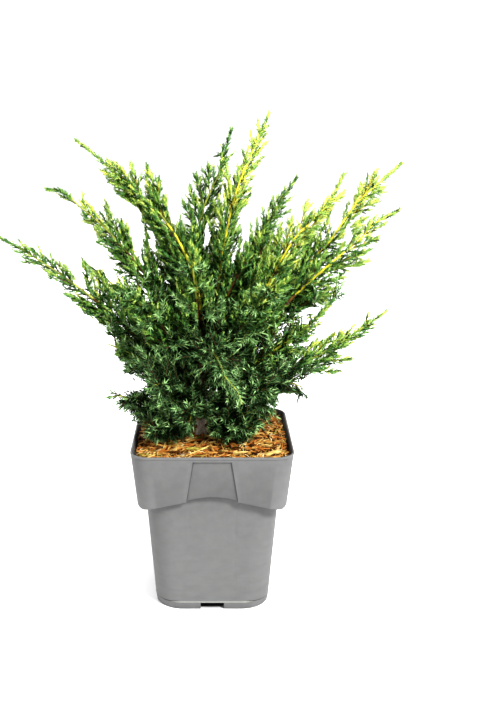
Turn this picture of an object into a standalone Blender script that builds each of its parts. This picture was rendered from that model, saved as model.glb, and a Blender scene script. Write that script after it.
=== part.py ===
"""A young vase-shaped Chinese juniper in the square nursery pot that it was grown in.

Metres, +Z up. The origin is the middle of the pot's flat underside, and the pot's front
faces -Y. Every limb follows one rule: it kicks out of the trunk, then leans away to its tip.
Every mass of foliage is grown along its limb by one seeded rule, inside its own space.
"""

import math
import random
from collections import namedtuple

import bmesh
import bpy
from mathutils import Matrix, Vector

# Clearance between pieces that touch on the real plant
GAP = 0.0003
SHARP_ANGLE = math.radians(35)

# Pot: a square container with round corners, a wide collar and a foot line
POT_HEIGHT = 0.160
WALL = 0.0018
FLOOR = 0.0020
RIM_HALF = 0.0744
RIM_CORNER = 0.0185
LIP_OUT = 0.0006
LIP_HEIGHT = 0.0024
COLLAR_FOOT_HALF = 0.0690
COLLAR_FOOT_CORNER = 0.0175
BODY_TOP_HALF = 0.0620
BODY_CORNER = 0.0225
BODY_FOOT_HALF = 0.0541
FOOT_HALF = 0.0547
FOOT_BOTTOM_HALF = 0.0535
FOOT_CORNER = 0.0260
FOOT_HEIGHT = 0.0080
SMALL_STEP = 0.0004
ARC_STEPS = 4

# The collar's lower edge: an arch under each label panel, then a fall to the corners
ARCH_TOP = 0.1195
ARCH_RISE = 0.0035
EDGE_AT_PANEL = 0.1150
EDGE_FALL = 0.220
PANEL_TOP = 0.1550
PANEL_TOP_HALF = 0.0171
PANEL_FOOT_HALF = 0.0233
PANEL_RECESS = 0.0010
PANEL_EDGE = 0.0009

# Drain channels: one under the middle of each side, with a round hole in its roof
CHANNEL_HALF = 0.0110
CHANNEL_HEIGHT = 0.0068
CHANNEL_INNER_END = 0.022
DRAIN_RADIUS = 0.0035
DRAIN_AT = 0.034
PAST_WALL = 0.070
UNDER_FOOT = -0.010

# Growing medium with its bark mulch
SOIL_TOP = 0.1540
SOIL_SHOULDER = 0.0020
MOUND = 0.0015
FLAT_ROUND_TRUNK = 0.016
SOIL_RINGS = (0.93, 0.55)
SOIL_CENTRE = 0.15

# Trunk
TRUNK_FOOT = Vector((-0.0108, 0.0, SOIL_TOP + GAP))
TRUNK_TIP = Vector((-0.0090, 0.0, 0.2400))
TRUNK_BOW = 0.0016
TRUNK_FOOT_RADIUS = 0.0066
TRUNK_RADIUS = 0.0046
TRUNK_TIP_RADIUS = 0.0034
FLARE_HEIGHT = 0.009
FLARE_LOBES = 4
LOBE_DEPTH = 0.35
TRUNK_SIDES = 10
TRUNK_RINGS = 10
RINGS_CROWD_LOW = 1.5

# Limbs
LIMB_STEPS = 7
CROTCH = 0.0095
CROTCH_SPEED = 40.0
BOUGH_ROOT_RADIUS = 0.0020
BOUGH_TIP_RADIUS = 0.0016
STEM_TIP_RADIUS = 0.0005
BOUGH_SIDES = 5
STEM_SIDES = 4
STEM_STEP = 0.030
FEWEST_RINGS = 5
LENGTH_POINTS = 21
SPACE_POINTS = 33

# Foliage: twigs and blades along a limb, which lean less and get shorter towards its tip
SEED = 41
GOLDEN_ANGLE = math.radians(137.5)
TWIG_ANGLE = math.radians(40)
TWIG_RADIUS = 0.0012
TWIG_SIDES = 3
TWIG_SUNK = 1.04
TWIG_SCALES = (1.0, 0.75, 0.55)
SHORTEST_TWIG = 0.011
SPRAY_SPACING = 0.0182
FEWEST_SPRAYS = 7
FIRST_SPRAY = 0.35
LAST_SPRAY = 0.95
LESS_AT_TIP = 0.35
ANGLE_SPREAD = 0.15
SIZE_SPREAD = 0.10
BLADE_ANGLE = math.radians(38)
BLADE_LENGTH = 0.042
BLADE_WIDTH = 0.50
BLADE_TIP_WIDTH = 0.36
BLADE_THICKNESS = 0.07
BLADE_SUNK = 0.0024
BLADE_WAIST = 0.40
BLADE_SCALES = (1.0, 0.8, 0.62, 0.48)
END_BLADE_AT = 0.75
SIDE_BLADE_AT = 0.45
SIDE_BLADE_SIZE = 0.9
TIP_BLADE = 0.75
BLADE_OUTLINE = ((0.0, 0.0), (0.52, 1.0), (0.50, 0.24), (1.0, 0.0),
                 (0.72, -0.22), (0.74, -0.72), (0.40, -0.22), (0.36, -0.88))
CORE_SHARE = 0.19
CORE_END = 0.70
CORE_SKEW = 0.6
ROOT_IN_CORE = 0.6
SPACE_MARGIN = 0.0005
WIDEST = 1.25
AT_TIP = 0.999
PAST_TIP = 0.0015
TRUNK_REACH = 1.05

# A plume's twigs: this long at its foot, full at FULL_AT of its length, none at the tip
PROFILE_FOOT = 0.55
FULL_AT = 0.62
PROFILE_SKEW = 0.8
PROFILE_FALL = 2.2

# One limb with its mass of foliage: where it leaves the trunk, the compass angle that it
# leans to (0 is right, 90 is back), how far and how high its tip is, how much its middle
# stands above a straight line, how late it leans out, how far it bows to its left, where
# along it the foliage starts, and the half width of its plume.
Limb = namedtuple("Limb", "name root azimuth reach tip lift lag bow leafy width")

LIMBS = (
    Limb("upper_left", 0.2403, 190, 0.112, 0.434, 0.000, 2.6, 0.000, 0.20, 0.027),
    Limb("tall_centre", 0.2340, 50, 0.040, 0.441, 0.000, 1.6, 0.017, 0.20, 0.024),
    Limb("tall_right", 0.2270, 21, 0.063, 0.455, 0.000, 1.8, 0.000, 0.22, 0.022),
    Limb("centre_right", 0.2210, -11, 0.084, 0.400, 0.000, 1.8, 0.000, 0.20, 0.022),
    Limb("back_high", 0.2265, 113, 0.090, 0.357, 0.010, 1.7, 0.000, 0.22, 0.026),
    Limb("back_left_high", 0.2165, 145, 0.105, 0.396, 0.010, 1.9, 0.000, 0.22, 0.026),
    Limb("left_shoulder", 0.2070, 181, 0.140, 0.391, 0.028, 1.35, 0.000, 0.22, 0.028),
    Limb("right_shoulder", 0.2140, -16, 0.127, 0.405, -0.008, 1.10, 0.000, 0.24, 0.024),
    Limb("back_right_high", 0.2105, 49, 0.112, 0.360, 0.006, 1.4, 0.000, 0.22, 0.026),
    Limb("front_high", 0.2160, 262, 0.070, 0.350, 0.006, 1.5, 0.000, 0.22, 0.026),
    Limb("far_right_high", 0.2055, 9, 0.184, 0.412, 0.006, 1.05, 0.000, 0.24, 0.026),
    Limb("far_right", 0.1945, -9, 0.176, 0.373, 0.012, 1.10, 0.000, 0.24, 0.030),
    Limb("far_left", 0.1930, 182, 0.185, 0.346, 0.012, 1.10, 0.000, 0.24, 0.026),
    Limb("back_left", 0.1990, 148, 0.138, 0.311, 0.012, 1.10, 0.000, 0.22, 0.024),
    Limb("back_middle", 0.2060, 98, 0.135, 0.335, 0.014, 1.10, 0.000, 0.22, 0.028),
    Limb("back_right", 0.2005, 50, 0.145, 0.318, 0.012, 1.10, 0.000, 0.22, 0.028),
    Limb("front_left", 0.2035, 224, 0.108, 0.318, 0.012, 1.20, 0.000, 0.22, 0.028),
    Limb("front_right", 0.2005, 312, 0.110, 0.322, 0.012, 1.20, 0.000, 0.22, 0.028),
    Limb("low_right", 0.1840, 3, 0.170, 0.2745, -0.008, 1.00, 0.000, 0.26, 0.022),
    Limb("front_droop", 0.2100, 290, 0.092, 0.2125, 0.044, 1.00, 0.000, 0.12, 0.022),
    Limb("left_middle", 0.1840, 192, 0.088, 0.250, 0.010, 1.00, 0.000, 0.08, 0.028),
    Limb("right_middle", 0.1890, -26, 0.128, 0.296, 0.004, 1.00, 0.000, 0.08, 0.026),
    Limb("low_left", 0.1700, 201, 0.092, 0.204, 0.012, 1.00, 0.000, 0.08, 0.022),
    Limb("low_right_front", 0.1730, -14, 0.098, 0.210, 0.018, 1.00, 0.000, 0.08, 0.022),
    Limb("front_low_left", 0.1790, 236, 0.080, 0.222, 0.014, 1.00, 0.000, 0.08, 0.026),
    Limb("front_low", 0.1730, 261, 0.066, 0.186, 0.014, 1.00, 0.000, 0.08, 0.022),
    Limb("front_low_right", 0.1795, 320, 0.078, 0.214, 0.012, 1.00, 0.000, 0.08, 0.024),
    Limb("front_foot_left", 0.1655, 222, 0.064, 0.1715, 0.004, 1.00, 0.000, 0.08, 0.020),
    Limb("front_foot_right", 0.1660, 318, 0.066, 0.1755, 0.004, 1.00, 0.000, 0.08, 0.020),
    Limb("back_low_left", 0.1760, 150, 0.108, 0.232, 0.010, 1.00, 0.000, 0.08, 0.028),
    Limb("back_low", 0.1730, 98, 0.100, 0.218, 0.012, 1.00, 0.000, 0.08, 0.028),
    Limb("back_low_right", 0.1780, 40, 0.108, 0.226, 0.010, 1.00, 0.000, 0.08, 0.028),
)
LEADER = "upper_left"

# A limb whose foliage starts nearer the trunk than this share of it has no bough of its own
SHORTEST_BOUGH = 0.10


def clear_scene():
    for item in list(bpy.data.objects):
        bpy.data.objects.remove(item, do_unlink=True)


def material(name, colour, roughness):
    made = bpy.data.materials.new(name)
    made.use_nodes = True
    shader = made.node_tree.nodes["Principled BSDF"]
    shader.inputs["Base Color"].default_value = (*colour, 1.0)
    shader.inputs["Roughness"].default_value = roughness
    shader.inputs["Metallic"].default_value = 0.0
    return made


def add_object(name, mesh, finish=None, helper=False):
    made = bpy.data.objects.new(name, mesh)
    bpy.context.scene.collection.objects.link(made)
    if finish:
        mesh.materials.append(finish)
    if helper:
        made.hide_render = True
        made.display_type = "WIRE"
    return made


def mesh_from(name, points, faces):
    mesh = bpy.data.meshes.new(name)
    mesh.from_pydata([tuple(p) for p in points], [], faces)
    mesh.validate()
    mesh.update()
    return mesh


def add_boolean(target, tool, operation):
    cut = target.modifiers.new(operation.lower() + "_" + tool.name, "BOOLEAN")
    cut.operation = operation
    cut.solver = "EXACT"
    cut.object = tool


def apply_modifiers(target):
    """Leaves the evaluated mesh as the object's own mesh."""
    bpy.context.view_layer.update()
    graph = bpy.context.evaluated_depsgraph_get()
    mesh = bpy.data.meshes.new_from_object(target.evaluated_get(graph))
    target.modifiers.clear()
    target.data = mesh


# Pot

def edge_height(along):
    """Height of the collar's lower edge, at a distance from the middle of its side."""
    if along <= PANEL_FOOT_HALF + 1e-6:
        return ARCH_TOP - ARCH_RISE * (along / PANEL_FOOT_HALF) ** 2
    return EDGE_AT_PANEL - EDGE_FALL * (along - PANEL_FOOT_HALF - PANEL_EDGE)


def ring(half, corner, panel, recess):
    """Points of one level of the pot, as (x, y), counterclockwise from the front side's panel."""
    inner = [(-panel - PANEL_EDGE, 0.0)]
    inner += [(share * panel, recess) for share in (-1.0, -0.5, 0.0, 0.5, 1.0)]
    inner += [(panel + PANEL_EDGE, 0.0)]
    side = [Vector((x, -half + inset)) for x, inset in inner]
    centre = Vector((half - corner, -half + corner))
    for step in range(ARC_STEPS + 1):
        turn = -math.pi / 2 + math.pi / 2 * step / ARC_STEPS
        side.append(centre + corner * Vector((math.cos(turn), math.sin(turn))))
    points = []
    for quarter in range(4):
        spin = Matrix.Rotation(quarter * math.pi / 2, 2)
        points += [spin @ p for p in side]
    return points


def level(half, corner, height, panel=PANEL_FOOT_HALF, recess=0.0):
    """A ring at one height, or at the height that a function gives for each point."""
    made = []
    for p in ring(half, corner, panel, recess):
        along = min(abs(p.x), abs(p.y))
        made.append(Vector((p.x, p.y, height(along) if callable(height) else height)))
    return made


def loft(name, levels):
    """A closed skin through rings of equal count, with a flat polygon at each end."""
    count = len(levels[0])
    points = [p for row in levels for p in row]
    faces = []
    for row in range(len(levels) - 1):
        low, high = row * count, (row + 1) * count
        for k in range(count):
            nxt = (k + 1) % count
            faces.append((low + k, low + nxt, high + nxt, high + k))
    last = (len(levels) - 1) * count
    faces.append(tuple(reversed(range(count))))
    faces.append(tuple(range(last, last + count)))
    mesh = mesh_from(name, points, faces)
    mesh.shade_smooth()
    mesh.set_sharp_from_angle(angle=SHARP_ANGLE)
    return mesh


def pot_levels():
    lip_foot = POT_HEIGHT - LIP_HEIGHT
    under_lip = RIM_HALF - LIP_OUT
    step = SMALL_STEP
    top = PANEL_TOP_HALF
    inner_edge = lambda along: edge_height(along) + WALL
    outside = [
        level(FOOT_BOTTOM_HALF, FOOT_CORNER, 0.0),
        level(FOOT_HALF, FOOT_CORNER, FOOT_HEIGHT),
        level(BODY_FOOT_HALF, BODY_CORNER, FOOT_HEIGHT + step),
        level(BODY_TOP_HALF, BODY_CORNER, edge_height),
        level(COLLAR_FOOT_HALF, COLLAR_FOOT_CORNER, edge_height, recess=PANEL_RECESS),
        level(under_lip, RIM_CORNER, PANEL_TOP, top, PANEL_RECESS),
        level(under_lip, RIM_CORNER, PANEL_TOP + step, top),
        level(under_lip, RIM_CORNER, lip_foot - step, top),
        level(RIM_HALF, RIM_CORNER, lip_foot, top),
        level(RIM_HALF, RIM_CORNER, POT_HEIGHT, top),
    ]
    inside = [
        level(RIM_HALF - WALL, RIM_CORNER - WALL, POT_HEIGHT, top),
        level(COLLAR_FOOT_HALF - WALL, COLLAR_FOOT_CORNER - WALL, inner_edge),
        level(BODY_TOP_HALF - WALL, BODY_CORNER - WALL, inner_edge),
        level(BODY_FOOT_HALF - WALL, BODY_CORNER - WALL, FLOOR),
    ]
    return outside + inside


def box_mesh(name, low, high):
    made = bmesh.new()
    bmesh.ops.create_cube(made, size=1.0)
    size = Vector(high) - Vector(low)
    centre = (Vector(high) + Vector(low)) / 2
    bmesh.ops.scale(made, vec=size, verts=made.verts)
    bmesh.ops.translate(made, vec=centre, verts=made.verts)
    mesh = bpy.data.meshes.new(name)
    made.to_mesh(mesh)
    made.free()
    return mesh


def side_box(name, half_width, inner_end, outer_end, low, high, quarter):
    """A helper box that runs in from one side of the pot."""
    mesh = box_mesh(name, (-half_width, -outer_end, low), (half_width, -inner_end, high))
    mesh.transform(Matrix.Rotation(quarter * math.pi / 2, 4, "Z"))
    return add_object(name, mesh, helper=True)


def drain_cutter(name, quarter):
    made = bmesh.new()
    bmesh.ops.create_cone(made, cap_ends=True, segments=8, radius1=DRAIN_RADIUS,
                          radius2=DRAIN_RADIUS, depth=3 * CHANNEL_HEIGHT)
    bmesh.ops.translate(made, vec=(0.0, -DRAIN_AT, CHANNEL_HEIGHT), verts=made.verts)
    mesh = bpy.data.meshes.new(name)
    made.to_mesh(mesh)
    made.free()
    mesh.transform(Matrix.Rotation(quarter * math.pi / 2, 4, "Z"))
    return add_object(name, mesh, helper=True)


def make_pot(finish):
    pot = add_object("pot", loft("pot", pot_levels()), finish)
    inside_wall = BODY_FOOT_HALF - WALL / 2
    for quarter in range(4):
        roof = side_box(f"roof_{quarter}", CHANNEL_HALF + WALL, CHANNEL_INNER_END - WALL,
                        inside_wall, FLOOR / 2, CHANNEL_HEIGHT + WALL, quarter)
        add_boolean(pot, roof, "UNION")
    for quarter in range(4):
        channel = side_box(f"channel_{quarter}", CHANNEL_HALF, CHANNEL_INNER_END,
                           PAST_WALL, UNDER_FOOT, CHANNEL_HEIGHT, quarter)
        add_boolean(pot, channel, "DIFFERENCE")
        add_boolean(pot, drain_cutter(f"drain_{quarter}", quarter), "DIFFERENCE")
    return pot


# Growing medium

def mulch_height(x, y):
    """Top of the mulch: low mounds that flatten round the trunk's foot."""
    from_trunk = math.hypot(x - TRUNK_FOOT.x, y - TRUNK_FOOT.y)
    open_ground = 1.0 - math.exp(-((from_trunk / FLAT_ROUND_TRUNK) ** 4))
    waves = (math.sin(95 * x + 1.3) * math.cos(80 * y - 0.4)
             + 0.5 * math.sin(170 * x - 60 * y) + 0.4 * math.cos(150 * y + 90 * x + 2.0))
    return SOIL_TOP + MOUND * waves * open_ground


def make_soil(finish):
    gap = WALL + GAP
    on_ledge = lambda along: edge_height(along) + gap
    levels = [
        level(BODY_FOOT_HALF - gap, BODY_CORNER - gap, FLOOR + GAP),
        level(BODY_TOP_HALF - gap, BODY_CORNER - gap, on_ledge),
        level(COLLAR_FOOT_HALF - gap, COLLAR_FOOT_CORNER - gap, on_ledge),
    ]
    share = (SOIL_TOP - EDGE_AT_PANEL) / (POT_HEIGHT - EDGE_AT_PANEL)
    half = COLLAR_FOOT_HALF + (RIM_HALF - COLLAR_FOOT_HALF) * share - gap - SMALL_STEP
    rim = level(half, RIM_CORNER - gap, SOIL_TOP - SOIL_SHOULDER, PANEL_TOP_HALF)
    levels.append(rim)
    for inset in SOIL_RINGS:
        flat = [p.xy * inset for p in rim]
        levels.append([Vector((p.x, p.y, mulch_height(p.x, p.y))) for p in flat])
    flat = [TRUNK_FOOT.xy + p.xy * SOIL_CENTRE for p in rim]
    levels.append([Vector((p.x, p.y, SOIL_TOP)) for p in flat])
    soil = add_object("growing_medium", loft("growing_medium", levels), finish)
    for quarter in range(4):
        block = side_box(f"roof_clearance_{quarter}", CHANNEL_HALF + gap,
                         CHANNEL_INNER_END - gap, PAST_WALL, UNDER_FOOT,
                         CHANNEL_HEIGHT + gap, quarter)
        add_boolean(soil, block, "DIFFERENCE")
    return soil


# Limbs

def frame_along(points):
    """Two directions square to the path at each point, turning as little as they can."""
    tangents = []
    for k in range(len(points)):
        ahead = points[min(k + 1, len(points) - 1)] - points[max(k - 1, 0)]
        tangents.append(ahead.normalized())
    side = tangents[0].orthogonal().normalized()
    frames = []
    for tangent in tangents:
        side = (side - tangent * side.dot(tangent)).normalized()
        frames.append((side, tangent.cross(side)))
    return frames


def tube(name, points, radii, sides):
    """A tapering limb with flat ends."""
    levels = []
    turns = [2 * math.pi * k / sides for k in range(sides)]
    for point, (side, up), radius in zip(points, frame_along(points), radii):
        levels.append([point + radius * (math.cos(t) * side + math.sin(t) * up) for t in turns])
    return loft(name, levels)


def trunk_point(share):
    point = TRUNK_FOOT.lerp(TRUNK_TIP, share)
    point.y += TRUNK_BOW * math.sin(math.pi * share)
    return point


def trunk_radius(share, extra=0.0):
    """The radius at a share of the trunk's height, as a function of the angle round it."""
    height = share * (TRUNK_TIP.z - TRUNK_FOOT.z)
    flare = math.exp(-height / FLARE_HEIGHT)
    plain = TRUNK_RADIUS + (TRUNK_TIP_RADIUS - TRUNK_RADIUS) * share
    swell = TRUNK_FOOT_RADIUS - TRUNK_RADIUS
    lobes = lambda turn: 1.0 + LOBE_DEPTH * math.cos(FLARE_LOBES * turn)
    return lambda turn: plain + flare * swell * lobes(turn) + extra


def make_trunk(name, extra=0.0, finish=None, helper=False):
    # Rings lie closer near the flare
    shares = [(k / TRUNK_RINGS) ** RINGS_CROWD_LOW for k in range(TRUNK_RINGS + 1)]
    points = [trunk_point(share) for share in shares]
    radii = [trunk_radius(share, extra) for share in shares]
    turns = [2 * math.pi * k / TRUNK_SIDES for k in range(TRUNK_SIDES)]
    levels = []
    for point, radius in zip(points, radii):
        levels.append([point + radius(t) * Vector((math.cos(t), math.sin(t), 0.0)) for t in turns])
    if helper:
        levels[-1] = [p + Vector((0.0, 0.0, GAP / 2)) for p in levels[-1]]
    return add_object(name, loft(name, levels), finish, helper)


def limb_point(limb, t):
    """A point on a limb's middle line: t is 0 on the trunk's axis and 1 at the limb's tip."""
    share = (limb.root - TRUNK_FOOT.z) / (TRUNK_TIP.z - TRUNK_FOOT.z)
    start = trunk_point(min(share, 1.0))
    crotch = 0.0 if limb.name == LEADER else CROTCH * (1.0 - math.exp(-CROTCH_SPEED * t))
    out = crotch + (limb.reach - crotch) * t ** limb.lag
    rise = (limb.tip - limb.root) * t + limb.lift * 4 * t * (1 - t)
    aside = limb.bow * 4 * t * (1 - t)
    angle = math.radians(limb.azimuth)
    ahead = Vector((math.cos(angle), math.sin(angle), 0.0))
    left = Vector((-math.sin(angle), math.cos(angle), 0.0))
    return Vector((start.x, start.y, limb.root)) + out * ahead + aside * left + Vector((0, 0, rise))


def limb_radius(limb, t):
    if t < limb.leafy:
        return BOUGH_ROOT_RADIUS + (BOUGH_TIP_RADIUS - BOUGH_ROOT_RADIUS) * t / limb.leafy
    share = (t - limb.leafy) / (1 - limb.leafy)
    return BOUGH_TIP_RADIUS + (STEM_TIP_RADIUS - BOUGH_TIP_RADIUS) * share


def has_bough(limb):
    return limb.leafy > SHORTEST_BOUGH


def path_between(limb, first, last, count):
    return [limb_point(limb, first + (last - first) * k / (count - 1)) for k in range(count)]


def limb_length(limb):
    points = path_between(limb, 0.0, 1.0, LENGTH_POINTS)
    return sum((b - a).length for a, b in zip(points, points[1:]))


def make_bough(limb, finish, trunk_clearance):
    shares = [limb.leafy * k / (LIMB_STEPS - 1) for k in range(LIMB_STEPS)]
    points = [limb_point(limb, t) for t in shares]
    radii = [limb_radius(limb, t) for t in shares]
    made = add_object("bough_" + limb.name, tube(limb.name, points, radii, BOUGH_SIDES), finish)
    if limb.name != LEADER:
        add_boolean(made, trunk_clearance, "DIFFERENCE")
        apply_modifiers(made)
    return made


# Foliage

class Space:
    """The room of each mass: what lies nearest its own limb, and clear of all the wood."""

    def __init__(self, limbs):
        self.paths = {limb.name: path_between(limb, 0.0, 1.0, SPACE_POINTS) for limb in limbs}
        self.limbs = {limb.name: limb for limb in limbs}

    def distance(self, name, point):
        path = self.paths[name]
        best, where = 1.0, 0.0
        for k in range(len(path) - 1):
            along = path[k + 1] - path[k]
            share = (point - path[k]).dot(along) / along.length_squared
            share = min(max(share, 0.0), 1.0)
            gap = (point - path[k] - along * share).length
            if gap < best:
                best, where = gap, (k + share) / (len(path) - 1)
        return best, where

    def holds(self, name, point):
        own, where = self.distance(name, point)
        if own > self.limbs[name].width * WIDEST or (where > AT_TIP and own > PAST_TIP):
            return False
        if point.z < mulch_height(point.x, point.y) + 4 * SPACE_MARGIN:
            return False
        over_rim = max(abs(point.x), abs(point.y)) > RIM_HALF - 2 * WALL
        if over_rim and point.z < POT_HEIGHT + 2 * SPACE_MARGIN:
            return False
        trunk_share = (point.z - TRUNK_FOOT.z) / (TRUNK_TIP.z - TRUNK_FOOT.z)
        if trunk_share < TRUNK_REACH:
            axis = trunk_point(max(trunk_share, 0.0))
            reach = trunk_radius(max(trunk_share, 0.0), 2 * SPACE_MARGIN)(0.0)
            if math.hypot(point.x - axis.x, point.y - axis.y) < reach:
                return False
        for other in self.paths:
            if other != name:
                gap, where = self.distance(other, point)
                wood = limb_radius(self.limbs[other], where) + 2 * SPACE_MARGIN
                if gap < own + SPACE_MARGIN or gap < wood:
                    return False
        return True

    def holds_all(self, name, points):
        return all(self.holds(name, p) for p in points)

    def room(self, name, point):
        """How thick a core can be at a point of a limb's middle line."""
        free = [point.z - SOIL_TOP - MOUND - 4 * SPACE_MARGIN]
        share = min(max((point.z - TRUNK_FOOT.z) / (TRUNK_TIP.z - TRUNK_FOOT.z), 0.0), 1.0)
        from_trunk = (point - trunk_point(share)).length
        free.append(from_trunk - trunk_radius(share, 2 * SPACE_MARGIN)(0.0))
        for other in self.paths:
            if other != name:
                gap, where = self.distance(other, point)
                free.append(gap / 2 - SPACE_MARGIN)
                free.append(gap - limb_radius(self.limbs[other], where) - 2 * SPACE_MARGIN)
        return min(free)


def blade(root, direction, flat, length, width):
    """A spray of needles as one toothed blade, as (points, faces), its root sunk in."""
    across = direction.cross(flat).normalized()
    through = across.cross(direction).normalized()
    back = root - direction * BLADE_SUNK
    half = width * length / 2
    points = []
    for along, aside in BLADE_OUTLINE:
        points.append(back + direction * along * (length + BLADE_SUNK) + across * aside * half)
    count = len(points)
    waist = back + direction * BLADE_WAIST * (length + BLADE_SUNK)
    thick = through * BLADE_THICKNESS * length / 2
    points += [waist + thick, waist - thick]
    faces = [(k, (k + 1) % count, count) for k in range(count)]
    faces += [((k + 1) % count, k, count + 1) for k in range(count)]
    return points, faces


def twig_points(root, direction, length, radius):
    """A three-sided twig that narrows to a point, its root sunk in what carries it."""
    side = direction.orthogonal().normalized()
    up = direction.cross(side)
    foot = []
    for k in range(TWIG_SIDES):
        turn = 2 * math.pi * k / TWIG_SIDES
        foot.append(root + radius * (math.cos(turn) * side + math.sin(turn) * up))
    return foot + [root + direction * length]


TWIG_FACES = ((0, 2, 1), (0, 1, 3), (1, 2, 3), (2, 0, 3))


def plume_profile(share):
    """How long the twigs are along a mass: full low down, short at the tip."""
    swell = math.sin(math.pi * min(share / FULL_AT, 1.0) ** PROFILE_SKEW)
    return (PROFILE_FOOT + (1 - PROFILE_FOOT) * swell) * (1 - share ** PROFILE_FALL)


def grow_blade(limb, space, pieces, root, direction, flat, length, width):
    for scale in BLADE_SCALES:
        points, faces = blade(root, direction, flat, length * scale, width)
        if space.holds_all(limb.name, points[1:]):
            pieces.append((points, faces))
            return


def grow_twig(limb, space, pieces, draw, root, direction, flat, length, size, width):
    """A twig with a blade at its end and one on its side."""
    for scale in TWIG_SCALES:
        reach = length * scale
        tip = root + direction * reach
        if space.holds_all(limb.name, [root.lerp(tip, k / 3) for k in (1, 2, 3)]):
            break
    else:
        return
    pieces.append((twig_points(root, direction, reach * TWIG_SUNK, TWIG_RADIUS), TWIG_FACES))
    start = root + direction * reach * END_BLADE_AT
    grow_blade(limb, space, pieces, start, direction, flat, size, width)
    hand = draw.choice((1, -1))
    turn = Matrix.Rotation(hand * BLADE_ANGLE * draw.uniform(0.8, 1.2), 3, flat)
    start = root + direction * reach * SIDE_BLADE_AT
    grow_blade(limb, space, pieces, start, turn @ direction, flat, size * SIDE_BLADE_SIZE, width)


def core_radius(limb, space, t):
    """The dense heart of a mass, thickest at a third of the way to its tip."""
    share = (t - limb.leafy) / (1 - limb.leafy)
    if not 0.0 < share < CORE_END:
        return 0.0
    rise = math.sin(math.pi * (share / CORE_END) ** CORE_SKEW)
    return min(CORE_SHARE * limb.width * rise, space.room(limb.name, limb_point(limb, t)))


def stem_radius(limb, space, t):
    return max(limb_radius(limb, t), core_radius(limb, space, t))


def stem_points(limb, space):
    length = limb_length(limb) * (1 - limb.leafy)
    count = max(FEWEST_RINGS, round(length / STEM_STEP))
    start = limb.leafy if has_bough(limb) else 0.0
    points = path_between(limb, start, 1.0, count)
    if has_bough(limb):
        points[0] += (points[1] - points[0]).normalized() * GAP
    shares = [start + (1 - start) * k / (count - 1) for k in range(count)]
    return points, [stem_radius(limb, space, t) for t in shares]


def grow_mass(limb, space):
    """Every twig and blade of one mass, as (points, faces)."""
    draw = random.Random(SEED * 1000 + LIMBS.index(limb))
    pieces = []
    leafy = limb_length(limb) * (1 - limb.leafy)
    steps = max(FEWEST_SPRAYS, round(leafy / SPRAY_SPACING))
    turn = draw.uniform(0, 2 * math.pi)
    for k in range(steps):
        share = (k + FIRST_SPRAY) / steps
        t = limb.leafy + (1 - limb.leafy) * share * LAST_SPRAY
        root = limb_point(limb, t)
        tangent = (limb_point(limb, min(t + 0.01, 1.0)) - limb_point(limb, t - 0.01)).normalized()
        turn += GOLDEN_ANGLE
        out = Matrix.Rotation(turn, 3, tangent) @ tangent.orthogonal().normalized()
        less = 1.0 - LESS_AT_TIP * share
        angle = TWIG_ANGLE * draw.uniform(1 - ANGLE_SPREAD, 1 + ANGLE_SPREAD) * less
        direction = tangent * math.cos(angle) + out * math.sin(angle)
        root += out * ROOT_IN_CORE * core_radius(limb, space, t)
        flat = tangent.cross(out)
        size = BLADE_LENGTH * less * draw.uniform(1 - SIZE_SPREAD, 1 + SIZE_SPREAD)
        width = BLADE_WIDTH + (BLADE_TIP_WIDTH - BLADE_WIDTH) * share
        length = limb.width * plume_profile(share)
        if length > SHORTEST_TWIG and k % 2 == 0:
            grow_twig(limb, space, pieces, draw, root, direction, flat, length, size, width)
        else:
            grow_blade(limb, space, pieces, root, direction, flat, size, width)
    tip = limb_point(limb, 1.0)
    tangent = (tip - limb_point(limb, 0.98)).normalized()
    flat = tangent.orthogonal().normalized()
    end = BLADE_LENGTH * TIP_BLADE
    pieces.append(blade(tip - tangent * end, tangent, flat, end, BLADE_TIP_WIDTH))
    return pieces


def keep_largest(mesh):
    """Drops any loose scrap that a union leaves."""
    made = bmesh.new()
    made.from_mesh(mesh)
    left = set(made.verts)
    islands = []
    while left:
        stack = [left.pop()]
        island = set(stack)
        while stack:
            for edge in stack.pop().link_edges:
                for vert in edge.verts:
                    if vert in left:
                        left.discard(vert)
                        island.add(vert)
                        stack.append(vert)
        islands.append(island)
    keep = max(islands, key=len)
    bmesh.ops.delete(made, geom=[v for v in made.verts if v not in keep], context="VERTS")
    made.to_mesh(mesh)
    made.free()


def join_pieces(target, pieces):
    """Fuses a mass: one Boolean union of its stem with a collection of twigs and blades."""
    group = bpy.data.collections.new("pieces_" + target.name)
    bpy.context.scene.collection.children.link(group)
    for k, (points, faces) in enumerate(pieces):
        mesh = mesh_from(f"piece_{k}", points, faces)
        group.objects.link(bpy.data.objects.new(f"piece_{k}", mesh))
    union = target.modifiers.new("fuse", "BOOLEAN")
    union.operation = "UNION"
    union.solver = "MANIFOLD"
    union.operand_type = "COLLECTION"
    union.collection = group
    apply_modifiers(target)
    for item in list(group.objects):
        bpy.data.objects.remove(item, do_unlink=True)
    bpy.data.collections.remove(group)
    keep_largest(target.data)


def make_mass(limb, space, finish, trunk_clearance):
    points, radii = stem_points(limb, space)
    made = add_object("foliage_" + limb.name, tube(limb.name, points, radii, STEM_SIDES), finish)
    if not has_bough(limb):
        add_boolean(made, trunk_clearance, "DIFFERENCE")
        apply_modifiers(made)
    join_pieces(made, grow_mass(limb, space))
    return made


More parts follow.
